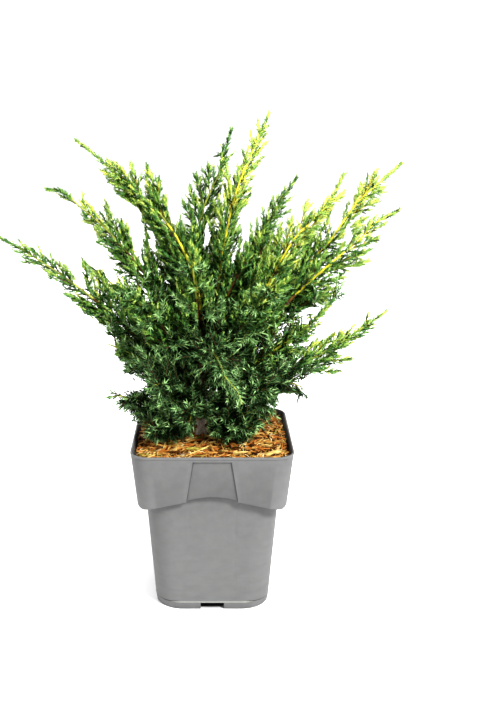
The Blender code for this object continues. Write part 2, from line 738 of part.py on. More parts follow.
def main():
    clear_scene()
    plastic = material("pot_plastic", (0.27, 0.27, 0.265), 0.55)
    mulch = material("bark_mulch", (0.42, 0.20, 0.07), 0.95)
    bark = material("bark", (0.24, 0.16, 0.09), 0.85)
    green = material("juniper_foliage", (0.10, 0.20, 0.07), 0.60)
    make_pot(plastic)
    make_soil(mulch)
    make_trunk("trunk", finish=bark)
    clearance = make_trunk("trunk_clearance", extra=GAP, helper=True)
    space = Space(LIMBS)
    for limb in LIMBS:
        if has_bough(limb):
            make_bough(limb, bark, clearance)
        make_mass(limb, space, green, clearance)


main()
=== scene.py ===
"""Looks of the potted juniper: pot, mulch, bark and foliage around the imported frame.

The limbs, and the twigs that grow on them, follow the same rule as the solids do, and go on
to finer twigs. Metres, +Z up; azimuth 0 is to the right and 90 is to the back.
"""

import random
from collections import namedtuple
from math import cos, exp, hypot, pi, radians, sin

import bpy
import numpy as np
from mathutils import Matrix, Vector, noise


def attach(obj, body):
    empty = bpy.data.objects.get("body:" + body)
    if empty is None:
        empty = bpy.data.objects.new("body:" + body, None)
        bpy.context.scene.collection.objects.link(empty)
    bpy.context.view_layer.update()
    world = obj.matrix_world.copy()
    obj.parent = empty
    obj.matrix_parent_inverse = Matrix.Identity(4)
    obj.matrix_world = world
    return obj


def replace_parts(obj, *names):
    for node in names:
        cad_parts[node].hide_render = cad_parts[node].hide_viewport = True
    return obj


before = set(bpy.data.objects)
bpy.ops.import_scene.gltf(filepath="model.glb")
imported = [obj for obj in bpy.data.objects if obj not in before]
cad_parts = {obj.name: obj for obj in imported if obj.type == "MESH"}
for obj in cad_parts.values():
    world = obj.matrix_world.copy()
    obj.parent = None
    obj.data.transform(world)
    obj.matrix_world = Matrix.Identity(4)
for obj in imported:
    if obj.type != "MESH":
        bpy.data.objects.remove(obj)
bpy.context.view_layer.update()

# Camera: fitted to the pot's outline in the photograph
PHOTO_WIDTH, PHOTO_HEIGHT = 480, 721
FOCAL_PIXELS = 986.25
POT_CENTRE_PIXEL = 212.25
CAMERA_DISTANCE = 0.899
CAMERA_HEIGHT = 0.4669
CAMERA_PITCH = 14.77
SENSOR = 36.0
CAMERA_PLACE = np.array((0.0, -CAMERA_DISTANCE, CAMERA_HEIGHT))
AHEAD = np.array((0.0, cos(radians(CAMERA_PITCH)), -sin(radians(CAMERA_PITCH))))
ABOVE = np.array((0.0, sin(radians(CAMERA_PITCH)), cos(radians(CAMERA_PITCH))))

# Lamps: name, place, size and power
LAMPS = (
    ("key", (1.15, -1.55, 1.85), 0.50, 105.0),
    ("fill", (-1.6, -1.3, 1.1), 1.4, 12.0),
    ("back", (-0.4, 1.8, 1.6), 1.2, 22.0),
)
LAMP_AIM = Vector((0, 0, 0.25))
FLOOR_SIZE = 6.0

# Pot
POT_HEIGHT = 0.160
WALL = 0.0018
FLOOR = 0.0020
RIM_HALF = 0.0744
RIM_CORNER = 0.0185
LIP_OUT = 0.0006
LIP_HEIGHT = 0.0024
COLLAR_FOOT_HALF = 0.0690
COLLAR_FOOT_CORNER = 0.0175
BODY_TOP_HALF = 0.0620
BODY_CORNER = 0.0225
BODY_FOOT_HALF = 0.0541
FOOT_HALF = 0.0547
FOOT_BOTTOM_HALF = 0.0535
FOOT_CORNER = 0.0260
FOOT_HEIGHT = 0.0080
ARC_STEPS = 14
SIDE_STEPS = 12
ARCH_TOP = 0.1195
ARCH_RISE = 0.0035
EDGE_AT_PANEL = 0.1150
EDGE_FALL = 0.220
PANEL_TOP = 0.1550
PANEL_TOP_HALF = 0.0171
PANEL_FOOT_HALF = 0.0233
PANEL_RECESS = 0.0015
PANEL_EDGE = 0.0003
CHANNEL_HALF = 0.0110
CHANNEL_HEIGHT = 0.0068
CHANNEL_INNER_END = 0.022
CHANNEL_OUTER_END = 0.070
SOFT_EDGE = 0.0004
SHARP_EDGE = radians(40)
# The scuff band and tone are pale scuffs, and also painted floor bounce light on the lower body
SCUFF_AND_BOUNCE_BAND = (0.018, 0.125)
SCUFF_AND_BOUNCE_TONE = (0.135, 0.136, 0.134, 1)
DUST_TONE = (0.42, 0.41, 0.36, 1)
# Painted highlight on the convex edges
EDGE_HIGHLIGHT_TONE = (0.165, 0.168, 0.168, 1)
# Painted shade inside the drain channels
CHANNEL_SHADE_TONE = (0.010, 0.009, 0.008, 1)

# Mulch: a chip's measures are the least one and how much more it may be, a fibre's are the
# least and the most; each tone of the chips has a dark and a light shade, and its share
SOIL_TOP = 0.1540
SOIL_SHOULDER = 0.0020
SOIL_HALF = 0.0711
SOIL_CORNER = 0.0165
BED_FOOT = 0.125
BED_RINGS = 26
MOUND = 0.0015
FLAT_ROUND_TRUNK = 0.016
CLEAR_OF_TRUNK = 0.0085
CHIP_COUNT = 2800
CHIP_LENGTHS = (0.0055, 0.024)
CHIP_WIDTHS = (0.00050, 0.0024)
CHIP_THICKNESSES = (0.00035, 0.0008)
CHIP_LIFTS = (0.0003, 0.0030)
CHIP_TILT = 0.16
CHIP_ROLL = 0.45
FIBRE_COUNT = 420
FIBRE_CURLS = (0.1, 0.55)
FIBRE_RADII = (0.00016, 0.00038)
FIBRE_STEPS = (6, 13)
FIBRE_STEP_LENGTHS = (0.0011, 0.0019)
FIBRE_ARCHES = (0.0012, 0.0036)
FIBRE_LIFT = 0.0016
PALE_FIBRES = 0.3
CHIP_TONES = {
    "mulch_orange": ((0.19, 0.066, 0.011), (0.38, 0.150, 0.030), 0.24),
    "mulch_tan": ((0.23, 0.120, 0.028), (0.44, 0.255, 0.072), 0.32),
    "mulch_moss": ((0.14, 0.115, 0.018), (0.32, 0.265, 0.060), 0.09),
    "mulch_straw": ((0.38, 0.260, 0.080), (0.62, 0.450, 0.180), 0.12),
    "mulch_brown": ((0.040, 0.014, 0.003), (0.13, 0.050, 0.009), 0.23),
}
FIBRE_TONES = {
    "fibre_tan": ((0.35, 0.15, 0.035), (0.66, 0.36, 0.10), 300, 0.8),
    "fibre_pale": ((0.66, 0.50, 0.24), (0.92, 0.80, 0.52), 300, 0.7),
}

# Trunk and limbs
GAP = 0.0003
TRUNK_FOOT = Vector((-0.0108, 0.0, SOIL_TOP + GAP))
TRUNK_TIP = Vector((-0.0090, 0.0, 0.2400))
TRUNK_BOW = 0.0016
TRUNK_FOOT_RADIUS = 0.0066
TRUNK_RADIUS = 0.0046
TRUNK_TIP_RADIUS = 0.0034
FLARE_HEIGHT = 0.009
FLARE_RIBS = 0.35
CROTCH = 0.0095
CROTCH_SPEED = 40.0
BOUGH_ROOT_RADIUS = 0.0020
BOUGH_TIP_RADIUS = 0.0016
STEM_TIP_RADIUS = 0.0005
LEAST_REACH = 0.0045
GOLDEN_ANGLE = radians(137.5)
TWIG_ANGLE = radians(40)
UP = Vector((0, 0, 1))

# Bark, for each piece: its look's name, dark and light shade, scale, roughness, bump and its
# scale, and the scale along the grain
BARKS = {
    "trunk_relief": ("old_bark", (0.38, 0.33, 0.26), (0.75, 0.69, 0.58), 520, 0.9, 1.0, 1500, 0.25),
    "bough_relief": ("bough_bark", (0.15, 0.07, 0.018), (0.42, 0.23, 0.055), 420, 0.8, 0.8, 1400, 0.3),
    "young_stems": ("young_bark", (0.065, 0.03, 0.008), (0.20, 0.095, 0.02), 300, 0.65, 0.5, 1200, 0.3),
    "olive_stems": ("olive_stem", (0.13, 0.15, 0.018), (0.29, 0.31, 0.045), 240, 0.5, 0.3, 1500, 1),
    "golden_stems": ("golden_stem", (0.36, 0.31, 0.016), (0.62, 0.55, 0.045), 240, 0.5, 0.3, 1500, 1),
}

# Each limb with its mass: name, height on the trunk, azimuth, reach, tip height, lift, lag, bare
# share, half width, and how bright its young growth is, for its own tone and for painted light
# and shade
LIMB_ROWS = (
    ("upper_left", 0.2403, 190, 0.112, 0.434, 0.000, 2.6, 0.20, 0.027, 0.10),
    ("tall_centre", 0.2340, 50, 0.040, 0.441, 0.000, 1.6, 0.20, 0.024, -0.12),
    ("tall_right", 0.2270, 21, 0.063, 0.455, 0.000, 1.8, 0.22, 0.022, 0.35),
    ("centre_right", 0.2210, -11, 0.084, 0.400, 0.000, 1.8, 0.20, 0.022, -0.10),
    ("back_high", 0.2265, 113, 0.090, 0.357, 0.010, 1.7, 0.22, 0.026, 0.0),
    ("back_left_high", 0.2165, 145, 0.105, 0.396, 0.010, 1.9, 0.22, 0.026, 0.0),
    ("left_shoulder", 0.2070, 181, 0.140, 0.391, 0.028, 1.35, 0.22, 0.028, 0.05),
    ("right_shoulder", 0.2140, -16, 0.127, 0.405, -0.008, 1.10, 0.24, 0.024, 0.30),
    ("back_right_high", 0.2105, 49, 0.112, 0.360, 0.006, 1.4, 0.22, 0.026, 0.1),
    ("front_high", 0.2160, 262, 0.070, 0.350, 0.006, 1.5, 0.22, 0.026, 0.0),
    ("far_right_high", 0.2055, 9, 0.184, 0.412, 0.006, 1.05, 0.24, 0.026, 0.28),
    ("far_right", 0.1945, -9, 0.176, 0.373, 0.012, 1.10, 0.24, 0.030, 0.18),
    ("far_left", 0.1930, 182, 0.185, 0.346, 0.012, 1.10, 0.24, 0.026, 0.05),
    ("back_left", 0.1990, 148, 0.138, 0.311, 0.012, 1.10, 0.22, 0.024, 0.0),
    ("back_middle", 0.2060, 98, 0.135, 0.335, 0.014, 1.10, 0.22, 0.028, 0.0),
    ("back_right", 0.2005, 50, 0.145, 0.318, 0.012, 1.10, 0.22, 0.028, 0.1),
    ("front_left", 0.2035, 224, 0.108, 0.318, 0.012, 1.20, 0.22, 0.028, 0.0),
    ("front_right", 0.2005, 312, 0.110, 0.322, 0.012, 1.20, 0.22, 0.028, 0.15),
    ("low_right", 0.1840, 3, 0.170, 0.2745, -0.008, 1.00, 0.26, 0.022, 0.20),
    ("front_droop", 0.2100, 290, 0.092, 0.2125, 0.044, 1.00, 0.12, 0.022, -0.41),
    ("left_middle", 0.1840, 192, 0.088, 0.250, 0.010, 1.00, 0.08, 0.028, -0.1),
    ("right_middle", 0.1890, -26, 0.128, 0.296, 0.004, 1.00, 0.08, 0.026, 0.0),
    ("low_left", 0.1700, 201, 0.092, 0.204, 0.012, 1.00, 0.08, 0.022, -0.6),
    ("low_right_front", 0.1730, -14, 0.098, 0.210, 0.018, 1.00, 0.08, 0.022, -0.6),
    ("front_low_left", 0.1790, 236, 0.080, 0.222, 0.014, 1.00, 0.08, 0.026, -0.6),
    ("front_low", 0.1730, 261, 0.066, 0.186, 0.014, 1.00, 0.08, 0.022, -0.6),
    ("front_low_right", 0.1795, 320, 0.078, 0.214, 0.012, 1.00, 0.08, 0.024, -0.6),
    ("front_foot_left", 0.1655, 222, 0.064, 0.1715, 0.004, 1.00, 0.08, 0.020, -0.6),
    ("front_foot_right", 0.1660, 318, 0.066, 0.1755, 0.004, 1.00, 0.08, 0.020, -0.6),
    ("back_low_left", 0.1760, 150, 0.108, 0.232, 0.010, 1.00, 0.08, 0.028, -0.5),
    ("back_low", 0.1730, 98, 0.100, 0.218, 0.012, 1.00, 0.08, 0.028, -0.5),
    ("back_low_right", 0.1780, 40, 0.108, 0.226, 0.010, 1.00, 0.08, 0.028, -0.5),
)
LEADER = "upper_left"
BOWED = {"tall_centre": 0.017}
LEAST_BOUGH = 0.10
ONLY_NEEDLES = -0.4

# Where limbs show in the photograph: a share of the length, and the pixel, right and down
BENT_FROM = 0.25
SHOWN_AT = {
    "upper_left": ((0.60, 170, 227), (0.85, 118.5, 175.5), (1.0, 74, 139)),
    "left_shoulder": ((0.55, 126, 251), (0.80, 84, 210), (0.92, 62, 191.5), (1.0, 46, 189)),
    "tall_centre": ((0.60, 200.5, 220), (0.85, 222, 164), (1.0, 232, 128)),
    "tall_right": ((0.70, 236.5, 191), (0.85, 252, 153), (1.0, 269.5, 112.5)),
    "centre_right": ((0.80, 270, 219), (1.0, 297.5, 176.5)),
    "right_shoulder": ((0.70, 292, 242), (0.90, 330, 201), (1.0, 345, 172.5)),
    "far_right_high": ((0.60, 325, 247), (0.80, 358, 202), (1.0, 402, 162.5)),
    "far_right": ((0.80, 356, 243), (0.90, 376, 222.5), (1.0, 400, 209.5)),
    "far_left": ((1.0, -2, 236.5),),
    "low_right": ((1.0, 386.5, 311),),
    "right_middle": ((0.75, 302.5, 331), (1.0, 334, 300)),
    "low_left": ((0.60, 141, 401), (1.0, 111, 397)),
    "front_droop": ((0.50, 212, 352), (0.75, 223, 372), (1.0, 242, 405)),
}

# Side shoots that the photograph shows, for each limb: the share of its length where they leave
# it, and the pixel, right and down, where their tip shows
SHOOTS = {
    "upper_left": (
        (0.76, 131, 166), (0.65, 147, 166), (0.68, 159, 180), (0.81, 119, 166), (0.72, 110, 181),
        (0.64, 117, 191), (0.60, 122, 197), (0.57, 133, 206), (0.53, 141, 216), (0.58, 168, 212),
        (0.78, 103, 171), (0.75, 112, 177), (0.82, 110, 162), (0.62, 146, 178), (0.60, 152, 188),
        (0.60, 164, 199)),
    "tall_centre": (
        (0.72, 208, 166), (0.66, 197, 176), (0.58, 190, 188), (0.90, 219, 155), (0.66, 219, 191),
        (0.60, 213, 209), (0.54, 183, 202), (0.50, 213, 222), (0.57, 218, 208), (0.80, 226, 160),
        (0.74, 222, 172)),
    "tall_right": (
        (0.62, 227, 169), (0.64, 248, 197), (0.86, 265, 135), (0.78, 262, 158), (0.86, 251, 135),
        (0.80, 243, 152), (0.70, 252, 178), (0.90, 267, 127), (0.84, 266, 143), (0.76, 257, 165),
        (0.92, 258, 122), (0.68, 236, 190), (0.44, 219, 198), (0.70, 243, 165), (0.58, 246, 203)),
    "centre_right": (
        (0.86, 285, 188), (0.80, 289, 211), (0.82, 273, 199), (0.76, 263, 210), (0.74, 276, 226),
        (0.70, 257, 221), (0.66, 251, 226), (0.52, 268, 234), (0.46, 263, 243)),
    "right_shoulder": (
        (0.80, 343, 193), (0.74, 307, 203), (0.64, 292, 218), (0.60, 279, 232), (0.80, 313, 212),
        (0.42, 273, 231), (0.36, 267, 246), (0.47, 281, 224), (0.60, 306, 236), (0.52, 300, 248),
        (0.68, 314, 228), (0.74, 322, 219), (0.80, 331, 210), (0.45, 292, 258)),
    "far_right_high": (
        (0.83, 376, 173), (0.81, 383, 188), (0.74, 377, 200), (0.64, 366, 218), (0.76, 363, 186),
        (0.60, 330, 226), (0.46, 314, 230), (0.52, 321, 237), (0.56, 332, 209)),
    "far_right": (
        (0.84, 384, 224), (0.74, 378, 237), (0.66, 369, 250), (0.62, 368, 261), (0.84, 375, 218),
        (0.76, 359, 225), (0.56, 343, 278), (0.50, 336, 288), (0.46, 331, 300), (0.22, 322, 290),
        (0.44, 334, 292), (0.42, 325, 296)),
    "low_right": (
        (0.56, 352, 359), (0.48, 340, 371), (0.74, 362, 336), (0.64, 348, 344), (0.50, 317, 340),
        (0.57, 328, 338), (0.66, 342, 333), (0.76, 353, 326), (0.88, 368, 315), (0.84, 372, 328),
        (0.16, 305, 389)),
    "right_middle": (
        (0.72, 314, 327), (0.60, 309, 336), (0.50, 300, 350), (0.80, 319, 317), (0.86, 326, 309)),
    "left_shoulder": (
        (0.80, 83, 196), (0.58, 106, 203), (0.54, 122, 223), (0.58, 96, 235), (0.48, 104, 256),
        (0.64, 87, 221), (0.42, 114, 270), (0.40, 145, 228)),
    "far_left": (
        (0.82, 33, 251), (0.78, 39, 248), (0.74, 51, 256), (0.79, 24, 262), (0.66, 67, 270),
        (0.68, 57, 263), (0.56, 83, 261), (0.50, 101, 271), (0.46, 107, 278), (0.44, 65, 293),
        (0.40, 84, 309), (0.34, 92, 318), (0.30, 101, 331)),
    "low_left": ((0.60, 118, 402), (0.50, 127, 410)),
    "low_right_front": (
        (0.60, 292, 396), (0.50, 284, 402), (0.42, 277, 394), (0.36, 268, 402), (0.80, 283, 388)),
    "front_low_right": (
        (0.70, 278, 406), (0.60, 277, 417), (0.85, 270, 398), (0.50, 267, 420), (0.40, 258, 428),
        (0.80, 276, 396), (0.65, 272, 412), (0.55, 271, 424), (0.45, 263, 429), (0.75, 281, 409)),
    "front_low_left": ((0.30, 196, 370), (0.20, 199, 384), (0.36, 191, 358)),
    "front_foot_right": ((0.55, 244, 440), (0.40, 226, 441), (0.75, 263, 425)),
    "front_foot_left": ((0.70, 152, 437), (0.55, 166, 435), (0.35, 181, 437)),
}

# The same for shoots whose whole length is golden
GOLDEN_SHOOTS = {
    "left_shoulder": ((0.64, 87, 203), (0.50, 127, 225), (0.46, 131, 242)),
    "far_left": ((0.52, 90, 269),),
    "far_right": ((0.30, 313, 292),),
    "front_right": ((0.40, 262, 322),),
}

# Sky between the plumes, as ovals: the middle's pixel, right and down, and the half sizes
SKY = (
    (134, 214, 7, 9), (137, 229, 7, 10), (137, 243, 4.5, 12), (151, 241, 2.5, 10),
    (121, 207, 10, 9), (64, 211, 15, 10), (82, 234, 12, 12), (25, 275, 20, 10),
    (50, 288, 11, 9), (76, 265, 5, 9), (97, 260, 11, 8), (109, 272, 4, 6),
    (111, 280, 4, 4), (97, 345, 10, 13), (134, 384, 12, 4), (174, 203, 6, 20),
    (208, 233, 3, 11), (246, 217, 5, 11), (299, 213, 4, 9), (337, 216, 6, 12),
    (324, 234, 2.5, 6), (350, 232, 3, 8), (313, 310, 6, 3.2), (306, 318, 3.5, 5),
    (322, 331, 5, 5), (318, 381, 13, 7), (301, 384, 6, 3), (87, 334, 9, 12),
    (88, 322, 8, 6), (95, 332, 8, 8), (106, 345, 9, 10), (114, 372, 6, 14),
    (121, 384, 6, 6), (317, 390, 13, 7), (288, 400, 9, 6), (284, 409, 6, 5),
    (102, 359, 11, 13), (80, 280, 5, 6),
)

# Stems that show between the leaves: the first and the last share of the limb's length, and how
# many pixels to each side are clear
SHOWN_STEMS = {
    "upper_left": (0.09, 0.66, 4.0), "tall_right": (0.26, 0.86, 1.3),
    "right_shoulder": (0.50, 0.88, 1.5), "far_right_high": (0.58, 0.92, 1.5),
    "far_right": (0.45, 0.92, 1.5), "left_shoulder": (0.45, 0.86, 1.5),
    "right_middle": (0.30, 0.62, 1.2), "far_left": (0.55, 0.90, 1.5),
    "centre_right": (0.40, 0.60, 1.2), "front_droop": (0.30, 0.98, 4.4),
}
STEM_STEP = 0.0008
TRUNK_CLEAR_PIXELS = 6.5
KEPT_OVER_STEM = 0.06

# Where a stem turns golden and then olive, as shares of its limb's length
OLIVE_FROM = 0.55
GOLDEN = {"upper_left": (0.20, 0.62), "tall_right": (0.28, 1.0), "right_shoulder": (0.35, 1.0),
          "right_middle": (0.30, 0.70), "far_right_high": (0.55, 1.0), "far_right": (0.50, 1.0)}

# Finer growth
SIDE_TWIG_SPACING = 0.0038
PLUME_TWIG_SPACING = 0.0042
SHOOT_TWIG_SPACING = 0.0036
BRANCHLET_SPACING = 0.0017
WHIP_SPACING = 0.0010
NEEDLE_SPACING = 0.0021
LIT_NEEDLE_SPACING = 0.0015
BRANCHLET_LENGTH = 0.0072
SHORT_BRANCHLET = 0.0062
WHIP_END = 0.0074
BRANCHLET_RADIUS = 0.00142
BRANCHLET_BEND = 0.35
WHORLS = 4
NEEDLE_LENGTH = 0.0086
NEEDLE_WIDTH = 0.00062
SCALE_TWIG_RADIUS = 0.00060
NEEDLE_TWIG_RADIUS = 0.00050
PLUME_STEM_RADIUS = 0.00085
SHOOT_STEM_RADIUS = 0.00080
LEAST_TWIG = 0.004
SHORT_TWIG = 0.006
SHORT_SHOOT = 0.022
TWIG_CUTS = (1.0, 0.78, 0.58, 0.40)
PLUME_LENGTHS = (0.075, 0.062, 0.050, 0.040, 0.030)
SPRIG_LENGTHS = (0.032, 0.025, 0.018, 0.013)
HEART_LENGTHS = (0.012, 0.028)
PLUME_ROOM = 0.92
SPRIG_ROOM = 1.30
ANY_ROOM = 99.0
CLEAR_OUTSIDE = 0.172
SPRIGS_LOW = 26
SPRIGS_FRONT = 22
FRONT_MIDDLE = ("front_high", "front_left", "front_right", "left_middle", "right_middle")
SCALY = ("low_right", "right_middle")
OPEN_FROM = 0.55
OPEN_SHARE = 0.24
SCALE_WHIP = 0.86
NEEDLE_WHIP = 0.94
MOST_TRIANGLES = 190000

# How far growth leans off its stem, in degrees
BRANCHLET_LEAN = (27, 46)
WHIP_LEAN = (28, 52)
NEEDLE_LEAN = (40, 62)
LIT_LEAN = (42, 60)
PLUME_LEAN = (24, 42)
SPRIG_LEAN = (35, 70)
HEART_LEAN = (30, 75)

# Tones of the growth, dark and light shade, and the levels of light between them: a level deals out
# the tones of branchlets, needles and twigs, and stands for the growth's own colour and for painted
# light and shade, lighter towards the tips and darker inside, low down and on undersides
SCALE_TONES = {
    "foliage_deep": ((0.005, 0.019, 0.001), (0.026, 0.066, 0.006)),
    "foliage_blue": ((0.033, 0.097, 0.024), (0.098, 0.214, 0.068)),
    "foliage_green": ((0.093, 0.188, 0.033), (0.212, 0.350, 0.086)),
    "foliage_bright": ((0.225, 0.330, 0.065), (0.400, 0.500, 0.150)),
    "foliage_gold": ((0.350, 0.395, 0.060), (0.570, 0.610, 0.160)),
}
NEEDLE_TONES = {
    "needle_deep": ((0.003, 0.012, 0.002), (0.014, 0.040, 0.010)),
    "needle_blue": ((0.045, 0.098, 0.036), (0.122, 0.216, 0.090)),
    "needle_pale": ((0.160, 0.285, 0.112), (0.325, 0.470, 0.220)),
}
TWIG_TONES = {
    "twigs_brown": ("twig_brown", (0.035, 0.016, 0.006), (0.130, 0.062, 0.020), 400, 0.8),
    "twigs_gold": ("twig_gold", (0.260, 0.190, 0.018), (0.440, 0.350, 0.045), 300, 0.5),
    "twigs_green": ("twig_green", (0.060, 0.085, 0.012), (0.160, 0.180, 0.030), 300, 0.55),
}
LIT_TONE = "needle_pale"
SCALE_STEPS = (0.22, 0.46, 0.70, 0.95)
NEEDLE_STEPS = (0.30, 0.62)
SCALE_DRIFT = (-0.28, 0.34)
SHADED_SHARE = 0.24
SHADED_STEP = 0.40
UNDERSIDE_SHADE = 0.24
LEVEL_TWIG = 0.45
GOLDEN_LIGHT = 0.88


# Materials

class Look:
    """A material and its nodes."""

    def __init__(self, name, roughness, specular=0.5):
        self.material = bpy.data.materials.new(name)
        self.material.use_nodes = True
        self.tree = self.material.node_tree
        self.finish = self.tree.nodes["Principled BSDF"].inputs
        self.finish["Roughness"].default_value = roughness
        self.finish["Specular IOR Level"].default_value = specular
        self.place = self.add("TexCoord").outputs["Object"]

    def put(self, socket, value):
        """Links a socket, or sets a plain value."""
        if isinstance(value, bpy.types.NodeSocket):
            self.tree.links.new(value, socket)
        else:
            socket.default_value = value

    def add(self, kind, operation=None, **values):
        node = self.tree.nodes.new("ShaderNode" + kind)
        if operation:
            node.operation = operation
        for name, value in values.items():
            self.put(node.inputs[name], value)
        return node

    def axes(self, vector):
        return self.add("SeparateXYZ", Vector=vector).outputs

    def stretched(self, scale):
        return self.add("Mapping", Vector=self.place, Scale=scale).outputs["Vector"]

    def clouds(self, place, scale, detail):
        return self.add("TexNoise", Vector=place, Scale=scale, Detail=detail).outputs["Fac"]

    def ramp(self, reading, *stops):
        """A colour ramp over a reading: each stop is a place, and a grey or a colour."""
        node = self.add("ValToRGB", Fac=reading)
        for element, (place, tone) in zip(node.color_ramp.elements, stops):
            element.position = place
            element.color = (*tone, 1) if isinstance(tone, tuple) else (tone, tone, tone, 1)
        return node.outputs["Color"]

    def mix(self, kind, share, first, second):
        node = self.add("MixRGB", Fac=share, Color1=first, Color2=second)
        node.blend_type = kind
        return node.outputs["Color"]


def mottled(name, dark, light, scale, roughness, bump=0.0, bump_scale=0.0, detail=4.0,
            stretch=(1, 1, 1), specular=0.5):
    """A look whose colour drifts between two tones, with a fine bump over it."""
    look = Look(name, roughness, specular)
    place = look.stretched(stretch)
    look.base = look.ramp(look.clouds(place, scale, detail), (0.35, dark), (0.65, light))
    look.put(look.finish["Base Color"], look.base)
    if bump:
        grain = look.clouds(place, bump_scale, 6.0)
        relief = look.add("Bump", Strength=bump, Distance=0.0005, Height=grain)
        look.put(look.finish["Normal"], relief.outputs["Normal"])
    return look


def channel_shade_mask(look):
    """A mask of what lies inside the drain channels of the foot, which get painted shade."""
    reach = look.axes(look.add("VectorMath", "ABSOLUTE", Vector=look.place).outputs["Vector"])
    nearer = look.add("Math", "MINIMUM")
    look.put(nearer.inputs[0], reach["X"])
    look.put(nearer.inputs[1], reach["Y"])
    mask = look.ramp(reach["Z"], (CHANNEL_HEIGHT + 0.0002, 1.0), (CHANNEL_HEIGHT + 0.0006, 0.0))
    for reading, full, none in (
            (reach["X"], FOOT_BOTTOM_HALF - 0.0012, FOOT_BOTTOM_HALF - 0.0004),
            (reach["Y"], FOOT_BOTTOM_HALF - 0.0012, FOOT_BOTTOM_HALF - 0.0004),
            (nearer.outputs["Value"], CHANNEL_HALF + 0.0004, CHANNEL_HALF + 0.0010)):
        mask = look.mix("MULTIPLY", 1.0, mask, look.ramp(reading, (full, 1.0), (none, 0.0)))
    return mask


def pot_look():
    """Matte grey recycled plastic: faint clouds, scuffs and painted bounce light low down, dust,
    painted edge highlights, painted shade in grooves, creases and channels.
    """
    look = mottled("pot_plastic", (0.087, 0.0875, 0.0865), (0.096, 0.0965, 0.0955), 120, 0.55,
                   bump=0.10, bump_scale=2600, detail=8.0, specular=0.25)
    surface = look.add("NewGeometry").outputs
    height = look.axes(look.place)["Z"]
    # Pale scuffs, and painted bounce light: the body is lighter from the foot up to the collar
    low = look.ramp(height, (SCUFF_AND_BOUNCE_BAND[0], 1.0), (SCUFF_AND_BOUNCE_BAND[1], 0.0))
    streaks = look.clouds(look.stretched((1, 1, 3)), 60, 6.0)
    scuffed_and_bounce_lit = look.mix("MULTIPLY", 1.0, low, look.ramp(streaks, (0.38, 0.40), (0.62, 0.60)))
    flat = look.ramp(look.axes(surface["Normal"])["Z"], (0.45, 0.0), (0.85, 0.8))
    on_foot = look.ramp(height, (0.010, 1.0), (0.013, 0.0))
    dust = look.mix("MULTIPLY", 1.0, flat, on_foot)
    # Painted highlight: convex edges are lighter
    edge_highlight = look.ramp(surface["Pointiness"], (0.53, 0.0), (0.62, 0.5))
    # Painted shade: concave edges and grooves are darker
    painted_groove_shade = look.ramp(surface["Pointiness"], (0.36, 0.25), (0.45, 1.0))
    # Painted shade: creases under the collar and at the panel steps are darkened by occlusion
    hollow = look.add("AmbientOcclusion", Distance=0.006)
    hollow.only_local = True
    painted_crease_shade = look.ramp(hollow.outputs["AO"], (0.50, 0.05), (0.80, 1.0))
    base = look.mix("MIX", scuffed_and_bounce_lit, look.base, SCUFF_AND_BOUNCE_TONE)
    base = look.mix("MIX", dust, base, DUST_TONE)
    base = look.mix("MIX", edge_highlight, base, EDGE_HIGHLIGHT_TONE)
    base = look.mix("MULTIPLY", 1.0, base, painted_groove_shade)
    base = look.mix("MULTIPLY", 1.0, base, painted_crease_shade)
    # Painted shade: the inside of the drain channels is near black
    base = look.mix("MIX", channel_shade_mask(look), base, CHANNEL_SHADE_TONE)
    look.put(look.finish["Base Color"], base)
    return look


# Mesh helpers

def new_object(name, data):
    made = bpy.data.objects.new(name, data)
    bpy.context.scene.collection.objects.link(made)
    return made


def new_mesh(name, points, faces):
    mesh = bpy.data.meshes.new(name)
    mesh.from_pydata([tuple(p) for p in points], [], faces)
    return mesh


def add_piece(name, mesh, look):
    mesh.materials.append(look.material)
    made = new_object(name, mesh)
    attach(made, "root")
    return made


def add_mesh(name, points, faces, look, slot):
    mesh = new_mesh(name, points, faces)
    mesh.update()
    mesh.shade_smooth()
    mesh.set_sharp_from_angle(angle=SHARP_EDGE)
    return add_piece(name, mesh, look)


def add_triangles(name, points, triangles, look, slot):
    """One joined piece from arrays of points and triangles."""
    mesh = bpy.data.meshes.new(name)
    mesh.vertices.add(len(points))
    mesh.vertices.foreach_set("co", points.astype(np.float32).ravel())
    mesh.loops.add(triangles.size)
    mesh.loops.foreach_set("vertex_index", triangles.astype(np.int32).ravel())
    mesh.polygons.add(len(triangles))
    mesh.polygons.foreach_set("loop_start", np.arange(0, triangles.size, 3, dtype=np.int32))
    mesh.update(calc_edges=True)
    return add_piece(name, mesh, look)


def unit(vectors):
    return vectors / np.maximum(np.linalg.norm(vectors, axis=-1, keepdims=True), 1e-12)


def scatter(shape, rows):
    """Copies a small shape to many places: +Z of the shape runs along each direction."""
    points, triangles = shape
    roots, directions, ups, scales = (rows[:, None, k:k + 3] for k in (0, 3, 6, 9))
    along = unit(directions)
    across = unit(np.cross(ups, along) + 1e-9)
    local = points[None] * scales
    placed = (roots + local[..., 0:1] * across + local[..., 1:2] * np.cross(along, across)
              + local[..., 2:3] * along)
    step = np.arange(len(rows))[:, None, None] * len(points)
    return placed.reshape(-1, 3), (triangles[None] + step).reshape(-1, 3)


def add_scattered(name, shape, places, look, slot):
    """Joined pieces of many copies, each piece under the limit on triangles."""
    data = np.array(places, dtype=float)
    most = MOST_TRIANGLES // len(shape[1])
    return [add_triangles(f"{name}_{part}", *scatter(shape, data[start:start + most]), look, slot)
            for part, start in enumerate(range(0, len(data), most))]


def prism(taper):
    """A tapering three-sided twig of unit length and radius, open at both sunk ends."""
    points = [(radius * cos(2 * pi * k / 3), radius * sin(2 * pi * k / 3), height)
              for height, radius in ((0.0, 1.0), (1.0, taper)) for k in range(3)]
    triangles = []
    for k in range(3):
        nxt = (k + 1) % 3
        triangles += [(k, nxt, 3 + nxt), (k, 3 + nxt, 3 + k)]
    return np.array(points), np.array(triangles)


